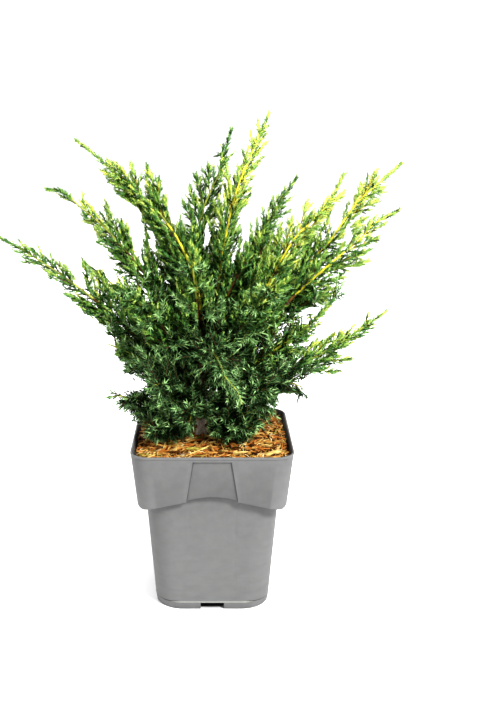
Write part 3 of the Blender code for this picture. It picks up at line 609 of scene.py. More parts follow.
def branchlet_shape():
    """A cord-like branchlet of unit length: a slim core under pairs of pointed scales."""
    points = [(BRANCHLET_BEND, 0.0, 1.0)]
    points += [(0.62 * cos(pi / 1.5 * k), 0.62 * sin(pi / 1.5 * k), 0.0) for k in range(3)]
    triangles = [(1, 2, 0), (2, 3, 0), (3, 1, 0)]
    for whorl in range(WHORLS):
        height = 0.06 + 0.76 * whorl / WHORLS
        radius = 0.78 - 0.35 * abs(height - 0.4)
        shift = BRANCHLET_BEND * height * height
        for side in range(2):
            turn = pi * side + pi / 2 * (whorl % 2) + 0.4
            start = len(points)
            for spread, out, up in ((-0.85, 0.72, 0.0), (0.85, 0.72, 0.0), (0.0, 1.10, 0.02),
                                    (0.0, 1.25, 0.24)):
                angle = turn + spread
                points.append((radius * out * cos(angle) + shift, radius * out * sin(angle),
                               height + up))
            triangles += [(start, start + 2, start + 3), (start + 2, start + 1, start + 3)]
    return np.array(points), np.array(triangles)


def needle_shape():
    """A short awl: a pointed blade folded along its middle."""
    points = ((0.0, -0.35, 0.0), (-1.0, 0.25, 0.30), (1.0, 0.25, 0.30), (0.0, 0.0, 1.0))
    return np.array(points), np.array(((0, 3, 1), (0, 2, 3)))


# Pot

def edge_height(along):
    """The collar's lower edge: an arch under the panel, and a fall from there to the corner."""
    if along <= PANEL_FOOT_HALF + 1e-6:
        return ARCH_TOP - ARCH_RISE * (along / PANEL_FOOT_HALF) ** 2
    return EDGE_AT_PANEL - EDGE_FALL * (along - PANEL_FOOT_HALF - PANEL_EDGE)


def over_edge(amount):
    return lambda along: edge_height(along) + amount


def level(half, corner, height, panel=PANEL_FOOT_HALF, recess=0.0):
    """Points of one level, counterclockwise from the front side's panel."""
    straight = half - corner
    inner = [(-panel + 2 * panel * k / SIDE_STEPS, recess) for k in range(SIDE_STEPS + 1)]
    outer = [(panel + PANEL_EDGE + (straight - panel - PANEL_EDGE) * k / SIDE_STEPS, 0.0)
             for k in range(SIDE_STEPS)]
    mirrored = [(-x, y) for x, y in reversed(outer)]
    side = [Vector((x, -half + y)) for x, y in mirrored + inner + outer]
    centre = Vector((half - corner, -half + corner))
    for step in range(ARC_STEPS):
        turn = -pi / 2 + pi / 2 * step / ARC_STEPS
        side.append(centre + corner * Vector((cos(turn), sin(turn))))
    made = []
    for quarter in range(4):
        for p in side:
            x, y = Matrix.Rotation(quarter * pi / 2, 2) @ p
            z = height(min(abs(x), abs(y))) if callable(height) else height
            made.append(Vector((x, y, z)))
    return made


def loft(levels):
    """All the points, and the faces between one level and the next, closed at both ends."""
    count = len(levels[0])
    faces = []
    for low in range(0, (len(levels) - 1) * count, count):
        for k in range(count):
            nxt = (k + 1) % count
            faces.append((low + k, low + nxt, low + count + nxt, low + count + k))
    last = (len(levels) - 1) * count
    faces += [tuple(reversed(range(count))), tuple(range(last, last + count))]
    return [p for row in levels for p in row], faces


def side_box(half_width, inner_end, outer_end, low, high, quarter):
    spin = Matrix.Rotation(quarter * pi / 2, 3, "Z")
    corners = [spin @ Vector((x, y, z)) for z in (low, high)
               for x, y in ((-half_width, -outer_end), (half_width, -outer_end),
                            (half_width, -inner_end), (-half_width, -inner_end))]
    faces = [(3, 2, 1, 0), (4, 5, 6, 7)]
    faces += [(k, (k + 1) % 4, 4 + (k + 1) % 4, 4 + k) for k in range(4)]
    return new_object("tool", new_mesh("tool", corners, faces))


def cut_and_apply(target, tools):
    for tool, operation in tools:
        cut = target.modifiers.new("cut", "BOOLEAN")
        cut.operation = operation
        cut.solver = "EXACT"
        cut.object = tool
    bpy.context.view_layer.update()
    graph = bpy.context.evaluated_depsgraph_get()
    mesh = bpy.data.meshes.new_from_object(target.evaluated_get(graph))
    target.modifiers.clear()
    target.data = mesh
    for tool, _ in tools:
        bpy.data.objects.remove(tool, do_unlink=True)


def make_pot():
    """The square container with softened edges, label panels and drain channels."""
    soft = SOFT_EDGE
    lip_foot = POT_HEIGHT - LIP_HEIGHT
    under_lip = RIM_HALF - LIP_OUT
    top = PANEL_TOP_HALF
    levels = [
        level(FOOT_BOTTOM_HALF - soft, FOOT_CORNER, 0.0),
        level(FOOT_BOTTOM_HALF, FOOT_CORNER, soft),
        level(FOOT_HALF, FOOT_CORNER, FOOT_HEIGHT - soft),
        level(FOOT_HALF - soft, FOOT_CORNER, FOOT_HEIGHT),
        level(BODY_FOOT_HALF, BODY_CORNER, FOOT_HEIGHT + soft),
        level(BODY_FOOT_HALF + soft / 2, BODY_CORNER, FOOT_HEIGHT + 6 * soft),
        level(BODY_TOP_HALF - soft, BODY_CORNER, over_edge(-10 * soft)),
        level(BODY_TOP_HALF, BODY_CORNER, edge_height),
        level(COLLAR_FOOT_HALF - soft, COLLAR_FOOT_CORNER, edge_height, recess=PANEL_RECESS),
        level(COLLAR_FOOT_HALF, COLLAR_FOOT_CORNER, over_edge(soft), recess=PANEL_RECESS),
        level(under_lip, RIM_CORNER, PANEL_TOP, top, PANEL_RECESS),
        level(under_lip, RIM_CORNER, PANEL_TOP + soft, top),
        level(under_lip, RIM_CORNER, lip_foot - soft, top),
        level(RIM_HALF - soft / 2, RIM_CORNER, lip_foot, top),
        level(RIM_HALF, RIM_CORNER, lip_foot + soft, top),
        level(RIM_HALF, RIM_CORNER, POT_HEIGHT - soft, top),
        level(RIM_HALF - soft, RIM_CORNER, POT_HEIGHT, top),
        level(RIM_HALF - WALL + soft, RIM_CORNER - WALL, POT_HEIGHT, top),
        level(RIM_HALF - WALL, RIM_CORNER - WALL, POT_HEIGHT - soft, top),
        level(COLLAR_FOOT_HALF - WALL, COLLAR_FOOT_CORNER - WALL, over_edge(WALL)),
        level(BODY_TOP_HALF - WALL, BODY_CORNER - WALL, over_edge(WALL)),
        level(BODY_FOOT_HALF - WALL, BODY_CORNER - WALL, FLOOR),
    ]
    pot = add_mesh("pot_shell", *loft(levels), pot_look(), "pot_plastic")
    tools = [(side_box(CHANNEL_HALF + WALL, CHANNEL_INNER_END - WALL, BODY_FOOT_HALF - WALL / 2,
                       FLOOR / 2, CHANNEL_HEIGHT + WALL, quarter), "UNION")
             for quarter in range(4)]
    tools += [(side_box(CHANNEL_HALF, CHANNEL_INNER_END, CHANNEL_OUTER_END, -0.010,
                        CHANNEL_HEIGHT, quarter), "DIFFERENCE") for quarter in range(4)]
    cut_and_apply(pot, tools)
    pot.data.shade_smooth()
    pot.data.set_sharp_from_angle(angle=SHARP_EDGE)
    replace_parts(pot, "pot")


# Mulch

def from_trunk(x, y):
    return hypot(x - TRUNK_FOOT.x, y - TRUNK_FOOT.y)


def mulch_height(x, y):
    """The source's rule for the mulch: low waves, flat round the trunk."""
    open_ground = 1.0 - exp(-((from_trunk(x, y) / FLAT_ROUND_TRUNK) ** 4))
    waves = (sin(95 * x + 1.3) * cos(80 * y - 0.4)
             + 0.5 * sin(170 * x - 60 * y) + 0.4 * cos(150 * y + 90 * x + 2.0))
    return SOIL_TOP + MOUND * waves * open_ground


def make_bed():
    """The dark bed under the chips, down to a little below the collar's edge."""
    edge = level(SOIL_HALF, SOIL_CORNER, SOIL_TOP - SOIL_SHOULDER, PANEL_TOP_HALF)
    levels = [level(SOIL_HALF - 0.004, SOIL_CORNER, BED_FOOT, PANEL_TOP_HALF), edge]
    for k in range(BED_RINGS):
        inset = 1.0 - 0.97 * (k + 0.4) / BED_RINGS
        row = []
        for p in edge:
            x, y = p.x * inset, p.y * inset
            rough = noise.noise(Vector((x, y, 0.3)) * 240) * 0.0016
            row.append(Vector((x, y, mulch_height(x, y) + rough)))
        levels.append(row)
    dark = mottled("damp_bed", (0.035, 0.016, 0.007), (0.17, 0.075, 0.025), 420, 0.95, 0.9, 1500)
    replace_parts(add_mesh("mulch_bed", *loft(levels), dark, "bark_mulch"), "growing_medium")


def chip_shape():
    """A torn strip of bark: a bent, tapering sliver with five cross sections."""
    points, triangles = [], []
    for k, (width, lift) in enumerate(((0.35, 0.0), (0.9, 0.5), (1.0, 0.7), (0.75, 0.55),
                                       (0.15, 0.1))):
        z = k / 4 - 0.5
        skew = 0.25 * sin(2.2 * k)
        points += [(-width + skew, lift - 0.5, z), (width + skew, lift - 0.5, z),
                   (0.5 * width + skew, lift + 0.5, z), (-0.7 * width + skew, lift + 0.4, z)]
    for k in range(4):
        for side in range(4):
            a, b = 4 * k + side, 4 * k + (side + 1) % 4
            triangles += [(a, b, b + 4), (a, b + 4, a + 4)]
    triangles += [(3, 2, 1), (3, 1, 0), (16, 17, 18), (16, 18, 19)]
    return np.array(points), np.array(triangles)


def inside_pot(x, y, margin):
    half = SOIL_HALF - margin
    corner = RIM_CORNER - 0.003
    dx, dy = max(abs(x) - (half - corner), 0.0), max(abs(y) - (half - corner), 0.0)
    return hypot(dx, dy) < corner


def chip_place(draw, long, wide, thick, lift):
    while True:
        x, y = draw.uniform(-SOIL_HALF, SOIL_HALF), draw.uniform(-SOIL_HALF, SOIL_HALF)
        heading = draw.uniform(0, 2 * pi)
        reach = long / 2 * 0.95
        ends = [(x + s * reach * cos(heading), y + s * reach * sin(heading)) for s in (-1, 1)]
        if all(inside_pot(*end, wide) for end in ends) and from_trunk(x, y) > CLEAR_OF_TRUNK:
            break
    tilt = draw.gauss(0, CHIP_TILT)
    direction = (cos(heading) * cos(tilt), sin(heading) * cos(tilt), sin(tilt))
    roll = draw.gauss(0, CHIP_ROLL)
    across = np.cross(direction, (sin(roll), 0.3 * sin(roll), cos(roll)))
    z = mulch_height(x, y) + lift + abs(sin(tilt)) * long * 0.22
    return (x, y, z, *direction, *across, wide, thick, long)


def make_mulch():
    make_bed()
    draw = random.Random(23)
    chips = {name: [] for name in CHIP_TONES}
    weights = [share for _, _, share in CHIP_TONES.values()]
    for k in range(CHIP_COUNT):
        size = draw.random() ** 2.2
        long = CHIP_LENGTHS[0] + CHIP_LENGTHS[1] * size
        wide = CHIP_WIDTHS[0] + CHIP_WIDTHS[1] * size * draw.uniform(0.3, 1.0)
        thick = CHIP_THICKNESSES[0] + CHIP_THICKNESSES[1] * draw.random()
        lift = CHIP_LIFTS[0] + CHIP_LIFTS[1] * draw.random() ** 1.3
        group = chips[draw.choices(list(chips), weights)[0]]
        group.append(chip_place(draw, long, wide, thick, lift))
    for name, (dark, light, _) in CHIP_TONES.items():
        look = mottled(name, dark, light, 330, 0.85, 0.7, 1900, stretch=(1, 1, 3), specular=0.2)
        add_scattered(name, chip_shape(), chips[name], look, "bark_mulch")
    make_fibres(draw)


def make_fibres(draw):
    """Curly bark fibres: thin arcs that lie over the chips."""
    fibres = {name: [] for name in FIBRE_TONES}
    for k in range(FIBRE_COUNT):
        while True:
            x, y = draw.uniform(-SOIL_HALF, SOIL_HALF), draw.uniform(-SOIL_HALF, SOIL_HALF)
            if inside_pot(x, y, 0.004):
                break
        heading = draw.uniform(0, 2 * pi)
        curl = draw.choice((-1, 1)) * draw.uniform(*FIBRE_CURLS)
        radius = draw.uniform(*FIBRE_RADII)
        steps = draw.randint(*FIBRE_STEPS)
        step = draw.uniform(*FIBRE_STEP_LENGTHS)
        group = fibres["fibre_pale" if draw.random() < PALE_FIBRES else "fibre_tan"]
        arch = draw.uniform(*FIBRE_ARCHES)
        points = []
        for s in range(steps + 1):
            if not inside_pot(x, y, 0.001):
                break
            lift = FIBRE_LIFT + arch * sin(pi * s / steps)
            points.append(Vector((x, y, mulch_height(x, y) + lift)))
            x += step * cos(heading)
            y += step * sin(heading)
            heading += curl
        for a, b in zip(points, points[1:]):
            group.append((*a, *(b - a), 0, 0, 1, radius, radius, (b - a).length * 1.08))
    for name, tone in FIBRE_TONES.items():
        add_scattered(name, prism(0.9), fibres[name], mottled(name, *tone), "bark_mulch")


# Wood

def trunk_point(share):
    point = TRUNK_FOOT.lerp(TRUNK_TIP, share)
    point.y += TRUNK_BOW * sin(pi * share)
    return point


def trunk_radius(share, turn):
    flare = exp(-share * (TRUNK_TIP.z - TRUNK_FOOT.z) / FLARE_HEIGHT)
    plain = TRUNK_RADIUS + (TRUNK_TIP_RADIUS - TRUNK_RADIUS) * share
    swell = TRUNK_FOOT_RADIUS - TRUNK_RADIUS
    return plain + flare * swell * (1.0 + FLARE_RIBS * cos(4 * turn))


class Limb(namedtuple("Limb", "name root azimuth reach tip lift lag leafy width bright")):
    """A limb with its mass: its path, and how its growth changes along it."""

    def line(self, t):
        """The source's rule for the limb's own line."""
        share = (self.root - TRUNK_FOOT.z) / (TRUNK_TIP.z - TRUNK_FOOT.z)
        start = trunk_point(min(share, 1.0))
        crotch = 0.0 if self.name == LEADER else CROTCH * (1.0 - exp(-CROTCH_SPEED * t))
        out = crotch + (self.reach - crotch) * t ** self.lag
        rise = (self.tip - self.root) * t + self.lift * 4 * t * (1 - t)
        aside = BOWED.get(self.name, 0.0) * 4 * t * (1 - t)
        angle = radians(self.azimuth)
        ahead = Vector((cos(angle), sin(angle), 0.0))
        left = Vector((-sin(angle), cos(angle), 0.0))
        root = Vector((start.x, start.y, self.root))
        return root + out * ahead + aside * left + Vector((0, 0, rise))

    def at(self, t):
        """The line, bent by a few millimetres to run where the photograph shows it."""
        point = self.line(t)
        before, shift = BENT_FROM, Vector((0, 0, 0))
        for share, right, down in SHOWN_AT.get(self.name, ()):
            here = self.line(share)
            aside = unseen(right, down, here.y) - here
            if before < t <= share:
                part = (t - before) / (share - before)
                return point + shift.lerp(aside, part * part * (3 - 2 * part))
            before, shift = share, aside
        return point

    def heading(self, t):
        return (self.at(min(t + 0.01, 1.0)) - self.at(max(t - 0.01, 0.0))).normalized()

    @property
    def length(self):
        points = [self.at(k / 20) for k in range(21)]
        return sum((b - a).length for a, b in zip(points, points[1:]))

    @property
    def has_bough(self):
        return self.leafy > LEAST_BOUGH

    @property
    def all_needles(self):
        return self.bright < ONLY_NEEDLES

    def radius(self, t):
        if t < self.leafy:
            return BOUGH_ROOT_RADIUS + (BOUGH_TIP_RADIUS - BOUGH_ROOT_RADIUS) * t / self.leafy
        share = (t - self.leafy) / (1 - self.leafy)
        return BOUGH_TIP_RADIUS + (STEM_TIP_RADIUS - BOUGH_TIP_RADIUS) * share

    def spread(self, t):
        """How far from its own line the limb's growth goes, at a place along it."""
        share = max(t - self.leafy, 0.0) / (1.0 - self.leafy)
        swell = 0.55 + 0.45 * sin(pi * min(share / 0.62, 1.0) ** 0.8)
        return LEAST_REACH + self.width * (swell * (1 - share ** 2.2))

    def juvenile(self, t, place):
        """The share of needles: all low down and deep inside, scale leaves towards the tips."""
        if self.all_needles:
            return 1.0
        low = 0.0 if self.name in SCALY else (0.262 - place.z) / 0.060
        return max(low, (0.34 - t) / 0.20)

    def young_tone_and_light(self, t):
        """How much brighter or darker the growth is than the rest, most so at the tip: its own tone and
        painted light and shade.
        """
        return self.bright * (0.05 + 0.95 * t * t)


LIMBS = [Limb(*row) for row in LIMB_ROWS]


def bark_tube(points, radius_at, sides, relief):
    """A tube with lengthwise ridges and flakes, and flat ends."""
    verts, faces = [], []
    side = (points[1] - points[0]).orthogonal().normalized()
    for k, point in enumerate(points):
        tangent = (points[min(k + 1, len(points) - 1)] - points[max(k - 1, 0)]).normalized()
        side = (side - tangent * side.dot(tangent)).normalized()
        up = tangent.cross(side)
        for s in range(sides):
            turn = 2 * pi * s / sides
            out = cos(turn) * side + sin(turn) * up
            radius = radius_at(k / (len(points) - 1), turn)
            spot = Vector((out.x * 2.2, out.y * 2.2, point.z * 90))
            ridges = noise.noise(spot) + 0.5 * noise.noise(point * 700 + out * 1.7)
            verts.append(point + out * radius * (1.0 + relief * ridges))
    for low in range(0, (len(points) - 1) * sides, sides):
        for s in range(sides):
            a, b = low + s, low + (s + 1) % sides
            faces.append((a, b, b + sides, a + sides))
    last = (len(points) - 1) * sides
    faces += [tuple(reversed(range(sides))), tuple(range(last, last + sides))]
    return verts, faces


def limb_tube(limb, first, last, steps, sides, relief, end=1.0):
    shares = [first + (last - first) * k / steps * end for k in range(steps + 1)]
    return bark_tube([limb.at(t) for t in shares],
                     lambda along, turn: limb.radius(first + (last - first) * along),
                     sides, relief)


def merge(parts):
    verts, faces = [], []
    for more_verts, more_faces in parts:
        start = len(verts)
        verts += more_verts
        faces += [tuple(start + v for v in face) for face in more_faces]
    return verts, faces


def make_wood():
    """Trunk and boughs with the relief of their bark, then the young stems that go on."""
    looks = {name: mottled(*row, stretch=(1, 1, along))
             for name, (*row, along) in BARKS.items()}
    crowding = 1.2
    trunk = bark_tube([trunk_point((k / 60) ** crowding) for k in range(61)],
                      lambda along, turn: trunk_radius(along ** crowding, turn), 28, 0.09)
    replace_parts(add_mesh("trunk_relief", *trunk, looks["trunk_relief"], "bark"), "trunk")
    boughs = [limb for limb in LIMBS if limb.has_bough]
    wood = merge(limb_tube(limb, 0.0, limb.leafy, 18, 12, 0.10) for limb in boughs)
    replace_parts(add_mesh("bough_relief", *wood, looks["bough_relief"], "bark"),
                *["bough_" + limb.name for limb in boughs])
    stems = {"young_stems": [], "olive_stems": [], "golden_stems": []}
    for limb in LIMBS:
        start = limb.leafy if limb.has_bough else 0.02
        golden, olive = GOLDEN.get(limb.name, (OLIVE_FROM, OLIVE_FROM))
        for name, first, last in (("young_stems", start, golden), ("golden_stems", golden, olive),
                                  ("olive_stems", olive, 1.0)):
            if last - first >= 0.01:
                stems[name].append(limb_tube(limb, first, last, 16, 8, 0.06, 0.995))
    for name, parts in stems.items():
        add_mesh(name, *merge(parts), looks[name], "juniper_foliage")


# Foliage

def seen(points):
    """The pixels, right and down, where points show in the photograph."""
    away = np.asarray(points, dtype=float) - CAMERA_PLACE
    depth = away @ AHEAD
    return np.stack([POT_CENTRE_PIXEL + FOCAL_PIXELS * away[..., 0] / depth,
                     PHOTO_HEIGHT / 2 - FOCAL_PIXELS * (away @ ABOVE) / depth], axis=-1)


def unseen(right, down, y):
    """The point behind a pixel, as far back as y says."""
    ray = AHEAD + ABOVE * (PHOTO_HEIGHT / 2 - down) / FOCAL_PIXELS
    ray[0] = (right - POT_CENTRE_PIXEL) / FOCAL_PIXELS
    return Vector(CAMERA_PLACE + ray * (y - CAMERA_PLACE[1]) / ray[1])


def in_the_sky(points):
    """Which points would show in a gap of sky."""
    pixels = seen(points)
    found = np.zeros(pixels.shape[:-1], dtype=bool)
    for right, down, half_width, half_height in SKY:
        off = (pixels - (right, down)) / (half_width, half_height)
        found |= (off ** 2).sum(-1) < 1.0
    return found


def in_front(points, line, clear):
    """Which points show over a stem and stand nearer than it."""
    line = np.array(line)
    gap = np.linalg.norm(seen(points)[:, None] - seen(line)[None], axis=-1)
    return (gap.min(1) < clear) & (points[:, 1] < line[gap.argmin(1), 1])


def shown_lines():
    """The trunk's foot, and the stems that the photograph shows between the leaves."""
    lines = [([trunk_point(k / 40) for k in range(7)], TRUNK_CLEAR_PIXELS, 0.0)]
    for limb in LIMBS:
        if limb.name in SHOWN_STEMS:
            first, last, clear = SHOWN_STEMS[limb.name]
            count = round(limb.length * (last - first) / STEM_STEP)
            stem = [limb.at(first + (last - first) * k / count) for k in range(count + 1)]
            lines.append((stem, clear, KEPT_OVER_STEM))
    return lines


def kept(rows, lines):
    """Growth clear of the gaps of sky, with little left in front of the stems that show."""
    data = np.array(rows, dtype=float)
    along = unit(data[:, 3:6]) * data[:, 11:12]
    middle, tip = data[:, 0:3] + 0.5 * along, data[:, 0:3] + along
    keep = ~(in_the_sky(middle) | in_the_sky(tip))
    chance = np.random.RandomState(5).random_sample(len(data))
    for line, clear, share in lines:
        over = in_front(middle, line, clear) | in_front(tip, line, clear)
        keep &= ~over | (chance < share)
    return data[keep]


class Space:
    """Where growth may go: in a limb's own reach, above the mulch and clear of the rim."""

    def __init__(self):
        paths = np.array([[limb.at(k / 32) for k in range(33)] for limb in LIMBS])
        self.start, self.along = paths[:, :-1], paths[:, 1:] - paths[:, :-1]
        self.reach = np.array([[limb.spread((k + 0.5) / 32) for k in range(32)]
                               for limb in LIMBS])

    def holds(self, points, slack):
        points = np.array(points)
        rim = np.abs(points[:, :2]).max(1)
        low = np.where(rim > RIM_HALF - 3 * WALL, POT_HEIGHT + 0.002, SOIL_TOP + 0.005)
        low = np.where(rim > RIM_HALF + 0.004, CLEAR_OUTSIDE, low)
        if (points[:, 2] < low).any() or in_the_sky(points).any():
            return False
        away = points[:, None, None] - self.start[None]
        share = np.clip((away * self.along).sum(-1) / (self.along ** 2).sum(-1), 0, 1)
        gap = np.linalg.norm(away - share[..., None] * self.along[None], axis=-1)
        return bool(((gap / self.reach[None]).min((1, 2)) < slack).all())


class Growth:
    """Collects every twig, branchlet and needle, sorted by tone."""

    def __init__(self):
        self.space = Space()
        self.rows = {name: [] for name in (*SCALE_TONES, *NEEDLE_TONES, *TWIG_TONES, "lit")}
        self.scales, self.needles = tuple(SCALE_TONES), tuple(NEEDLE_TONES)
        self.draw = random.Random(41)

    def lean(self, limits):
        return radians(self.draw.uniform(*limits))

    def branchlet(self, root, direction, length, light):
        draw = self.draw
        level = light + draw.uniform(*SCALE_DRIFT)
        if draw.random() < SHADED_SHARE:
            level -= SHADED_STEP
        tone = self.scales[sum(level > step for step in SCALE_STEPS)]
        up = (draw.uniform(-1, 1), draw.uniform(-1, 1), draw.uniform(-1, 1))
        radius = BRANCHLET_RADIUS * draw.uniform(0.88, 1.12) * min(1.0, 0.70 + length / 0.018)
        self.rows[tone].append((*root, *direction, *up, radius, radius, length))

    def needle(self, root, direction, up, length, level):
        tone = self.needles[sum(level > step for step in NEEDLE_STEPS)]
        width = NEEDLE_WIDTH * self.draw.uniform(0.85, 1.15)
        self.rows[tone].append((*root, *direction, *up, width, width, length))

    def twig(self, points, radius, kind):
        for k, (a, b) in enumerate(zip(points, points[1:])):
            thin = radius * (1.0 - 0.6 * k / len(points))
            self.rows[kind].append((*a, *(b - a), 0.1, 0.2, 1, thin, thin, (b - a).length * 1.05))


def turned(direction, angle, around):
    """A direction that leans off another by an angle, at a place round it."""
    square = direction.orthogonal().normalized()
    out = Matrix.Rotation(around, 3, direction) @ square
    return direction * cos(angle) + out * sin(angle)


class Arc:
    """A gently bent shoot: its place and heading at any share of its length."""

    def __init__(self, root, direction, length, towards, bend):
        self.root, self.direction, self.length = root, direction.normalized(), length
        self.towards, self.bend = towards, bend

    @classmethod
    def between(cls, root, tip, towards, bend):
        """The shoot that ends at a given tip."""
        made = cls(root, tip - root, (tip - root).length, towards, bend)
        made.direction = (tip - root) / made.length - towards * bend
        return made

    def at(self, s):
        return self.root + self.length * (self.direction * s + self.towards * self.bend * s * s)

    def heading(self, s):
        return (self.direction + self.towards * 2 * self.bend * s).normalized()

    def points(self, steps):
        return [self.at(k / steps) for k in range(steps + 1)]


def scale_twig(growth, arc, light, full=BRANCHLET_LENGTH):
    """A side twig with cord-like branchlets all round it, lighter towards its end for young growth and
    painted light, and darker where it points down, as painted shade.
    """
    draw = growth.draw
    # Painted shade: twigs that point down take darker tones; lit twigs get golden stems
    light += UNDERSIDE_SHADE * (arc.direction.z - LEVEL_TWIG)
    growth.twig(arc.points(3), SCALE_TWIG_RADIUS, "twigs_gold" if light > 0.66 else "twigs_green")
    count = max(3, int(arc.length / BRANCHLET_SPACING))
    around = draw.uniform(0, 2 * pi)
    for k in range(count):
        s = (k + 0.6) / count
        around += GOLDEN_ANGLE + draw.uniform(-0.4, 0.4)
        out = turned(arc.heading(s), growth.lean(BRANCHLET_LEAN) * (1.0 - 0.40 * s), around)
        size = full * (1.12 - 0.42 * s) * draw.uniform(0.78, 1.22)
        growth.branchlet(arc.at(s), out, size, light + 0.26 * (s - 0.5))
    growth.branchlet(arc.at(0.93), arc.heading(1.0), full * draw.uniform(0.9, 1.3), light + 0.24)


def needle_twig(growth, arc, light):
    """A juvenile twig: awl-shaped needles in threes that stand well out."""
    draw = growth.draw
    growth.twig(arc.points(2), NEEDLE_TWIG_RADIUS, "twigs_green" if light > 0.3 else "twigs_brown")
    count = max(4, int(arc.length / NEEDLE_SPACING))
    around = draw.uniform(0, 2 * pi)
    for k in range(count):
        s = (k + 0.5) / count
        here, tangent = arc.at(s), arc.heading(s)
        around += radians(60)
        for third in range(3):
            lean = growth.lean(NEEDLE_LEAN) * (1.0 - 0.5 * s ** 3)
            out = turned(tangent, lean, around + third * 2.1 + draw.uniform(-0.25, 0.25))
            level = light + 0.5 * (s - 0.45) + draw.uniform(-0.30, 0.30)
            size = NEEDLE_LENGTH * draw.uniform(0.7, 1.15) * (1.0 - 0.25 * s)
            growth.needle(here, out, tangent, size, level)


def tapering_tip(growth, path, first, share, light):
    """The whip-like end of a shoot: short branchlets that hug it, and a cord at its point."""
    draw = growth.draw
    count = max(5, int(path.length * share / WHIP_SPACING))
    around = draw.uniform(0, 2 * pi)
    for k in range(count):
        s = (k + 0.3) / count
        around += GOLDEN_ANGLE
        t = first + (1.0 - first) * s * 0.97
        lean = growth.lean(WHIP_LEAN) * (1.0 - 0.45 * s)
        size = (BRANCHLET_LENGTH - 0.0024 * s) * draw.uniform(0.80, 1.20)
        growth.branchlet(path.at(t), turned(path.heading(t), lean, around), size, light + 0.12 * s)
    growth.branchlet(path.at(0.965), path.heading(1.0), WHIP_END, light + 0.1)


def side_shoots(growth, path, first, last, spacing, width_at, light_at, juvenile_at, slack=1.0,
                open_from=1.0):
    """Side twigs round a limb or a plume, by the source's rule at a closer spacing."""
    draw = growth.draw
    steps = max(3, round(path.length * (last - first) / spacing))
    turn = draw.uniform(0, 2 * pi)
    for k in range(steps):
        t = first + (last - first) * ((k + 0.35) / steps)
        tangent = path.heading(t)
        turn += GOLDEN_ANGLE + draw.uniform(-0.2, 0.2)
        if t > open_from and draw.random() < OPEN_SHARE:
            continue
        angle = TWIG_ANGLE * draw.uniform(0.72, 1.12) * (1.0 - 0.42 * t)
        direction = turned(tangent, angle, turn)
        for cut in TWIG_CUTS:
            length = width_at(t) * draw.uniform(0.85, 1.12) * cut
            arc = Arc(path.at(t), direction, length, tangent, draw.uniform(0.05, 0.22))
            if length < SHORT_TWIG or growth.space.holds([arc.at(1.0), arc.at(0.6)], slack):
                break
        else:
            continue
        if length < LEAST_TWIG:
            continue
        if draw.random() < juvenile_at(t, arc.at(0.7)):
            needle_twig(growth, arc, 0.12 + light_at(t))
        else:
            scale_twig(growth, arc, light_at(t))


def main_plume(growth, limb):
    """The limb's own growth, from where its mass begins to its tip."""
    whip = NEEDLE_WHIP if limb.all_needles else SCALE_WHIP
    side_shoots(growth, limb, max(limb.leafy * 0.6, 0.04), whip, SIDE_TWIG_SPACING,
                lambda t: 1.12 * limb.spread(t) + 0.002,
                lambda t: 0.10 + 0.60 * t ** 1.3 + limb.young_tone_and_light(t),
                limb.juvenile, open_from=OPEN_FROM if limb.name in SHOOTS else 1.0)
    if limb.all_needles:
        end = Arc(limb.at(0.90), limb.heading(0.95), limb.length * 0.1, limb.heading(1.0), 0.0)
        needle_twig(growth, end, 0.55)
    else:
        tapering_tip(growth, limb, whip, 1 - whip, 0.46 + limb.bright)


def side_plume(growth, limb, t, direction, length):
    """A smaller plume that leaves a limb: a thin stem, side twigs and a tapering tip."""
    tangent = limb.heading(t)
    arc = Arc(limb.at(t), direction, length, tangent, 0.12)
    light = 0.10 + 0.58 * t ** 1.2 + limb.young_tone_and_light(t)
    growth.twig(arc.points(5), PLUME_STEM_RADIUS, "twigs_gold" if light > 0.5 else "twigs_brown")
    side_shoots(growth, arc, 0.10, 0.84, PLUME_TWIG_SPACING,
                lambda s: 0.006 + 0.012 * (1 - s ** 2) * min(1.0, length / 0.05),
                lambda s: light + 0.30 * (s - 0.4),
                lambda s, place: limb.juvenile(t + 0.5 * s, place))
    if growth.draw.random() < limb.juvenile(t + 0.2, arc.at(1.0)):
        needle_twig(growth, Arc(arc.at(0.8), arc.heading(0.9), length * 0.2, tangent, 0.0), 0.5)
    else:
        tapering_tip(growth, arc, 0.80, 0.2, light + 0.22)


def side_plumes(growth, limb):
    """Side plumes by the golden angle, as long as the crown has room for."""
    draw = growth.draw
    turn = draw.uniform(0, 2 * pi)
    count = 9 if limb.has_bough else 5
    for k in range(count):
        t = 0.06 + 0.62 * (k + draw.random()) / count
        turn += GOLDEN_ANGLE
        tangent = limb.heading(t)
        direction = (turned(tangent, growth.lean(PLUME_LEAN), turn) + 0.25 * UP).normalized()
        for length in PLUME_LENGTHS:
            arc = Arc(limb.at(t), direction, length * 1.06, tangent, 0.12)
            if growth.space.holds([arc.at(1.0), arc.at(0.7), arc.at(0.4)], PLUME_ROOM):
                side_plume(growth, limb, t, direction, length * draw.uniform(0.85, 1.0))
                break


def juvenile_shoot(growth, arc, tangent):
    """A shoot of needles with two pairs of side twigs."""
    needle_twig(growth, arc, 0.30)
    for s, side in ((0.35, -1), (0.45, 1), (0.62, -1), (0.70, 1)):
        aside = turned(arc.heading(s), radians(38), side * 1.5 + growth.draw.random())
        needle_twig(growth, Arc(arc.at(s), aside, arc.length * 0.45 * (1.2 - s), tangent, 0.1), 0.35)


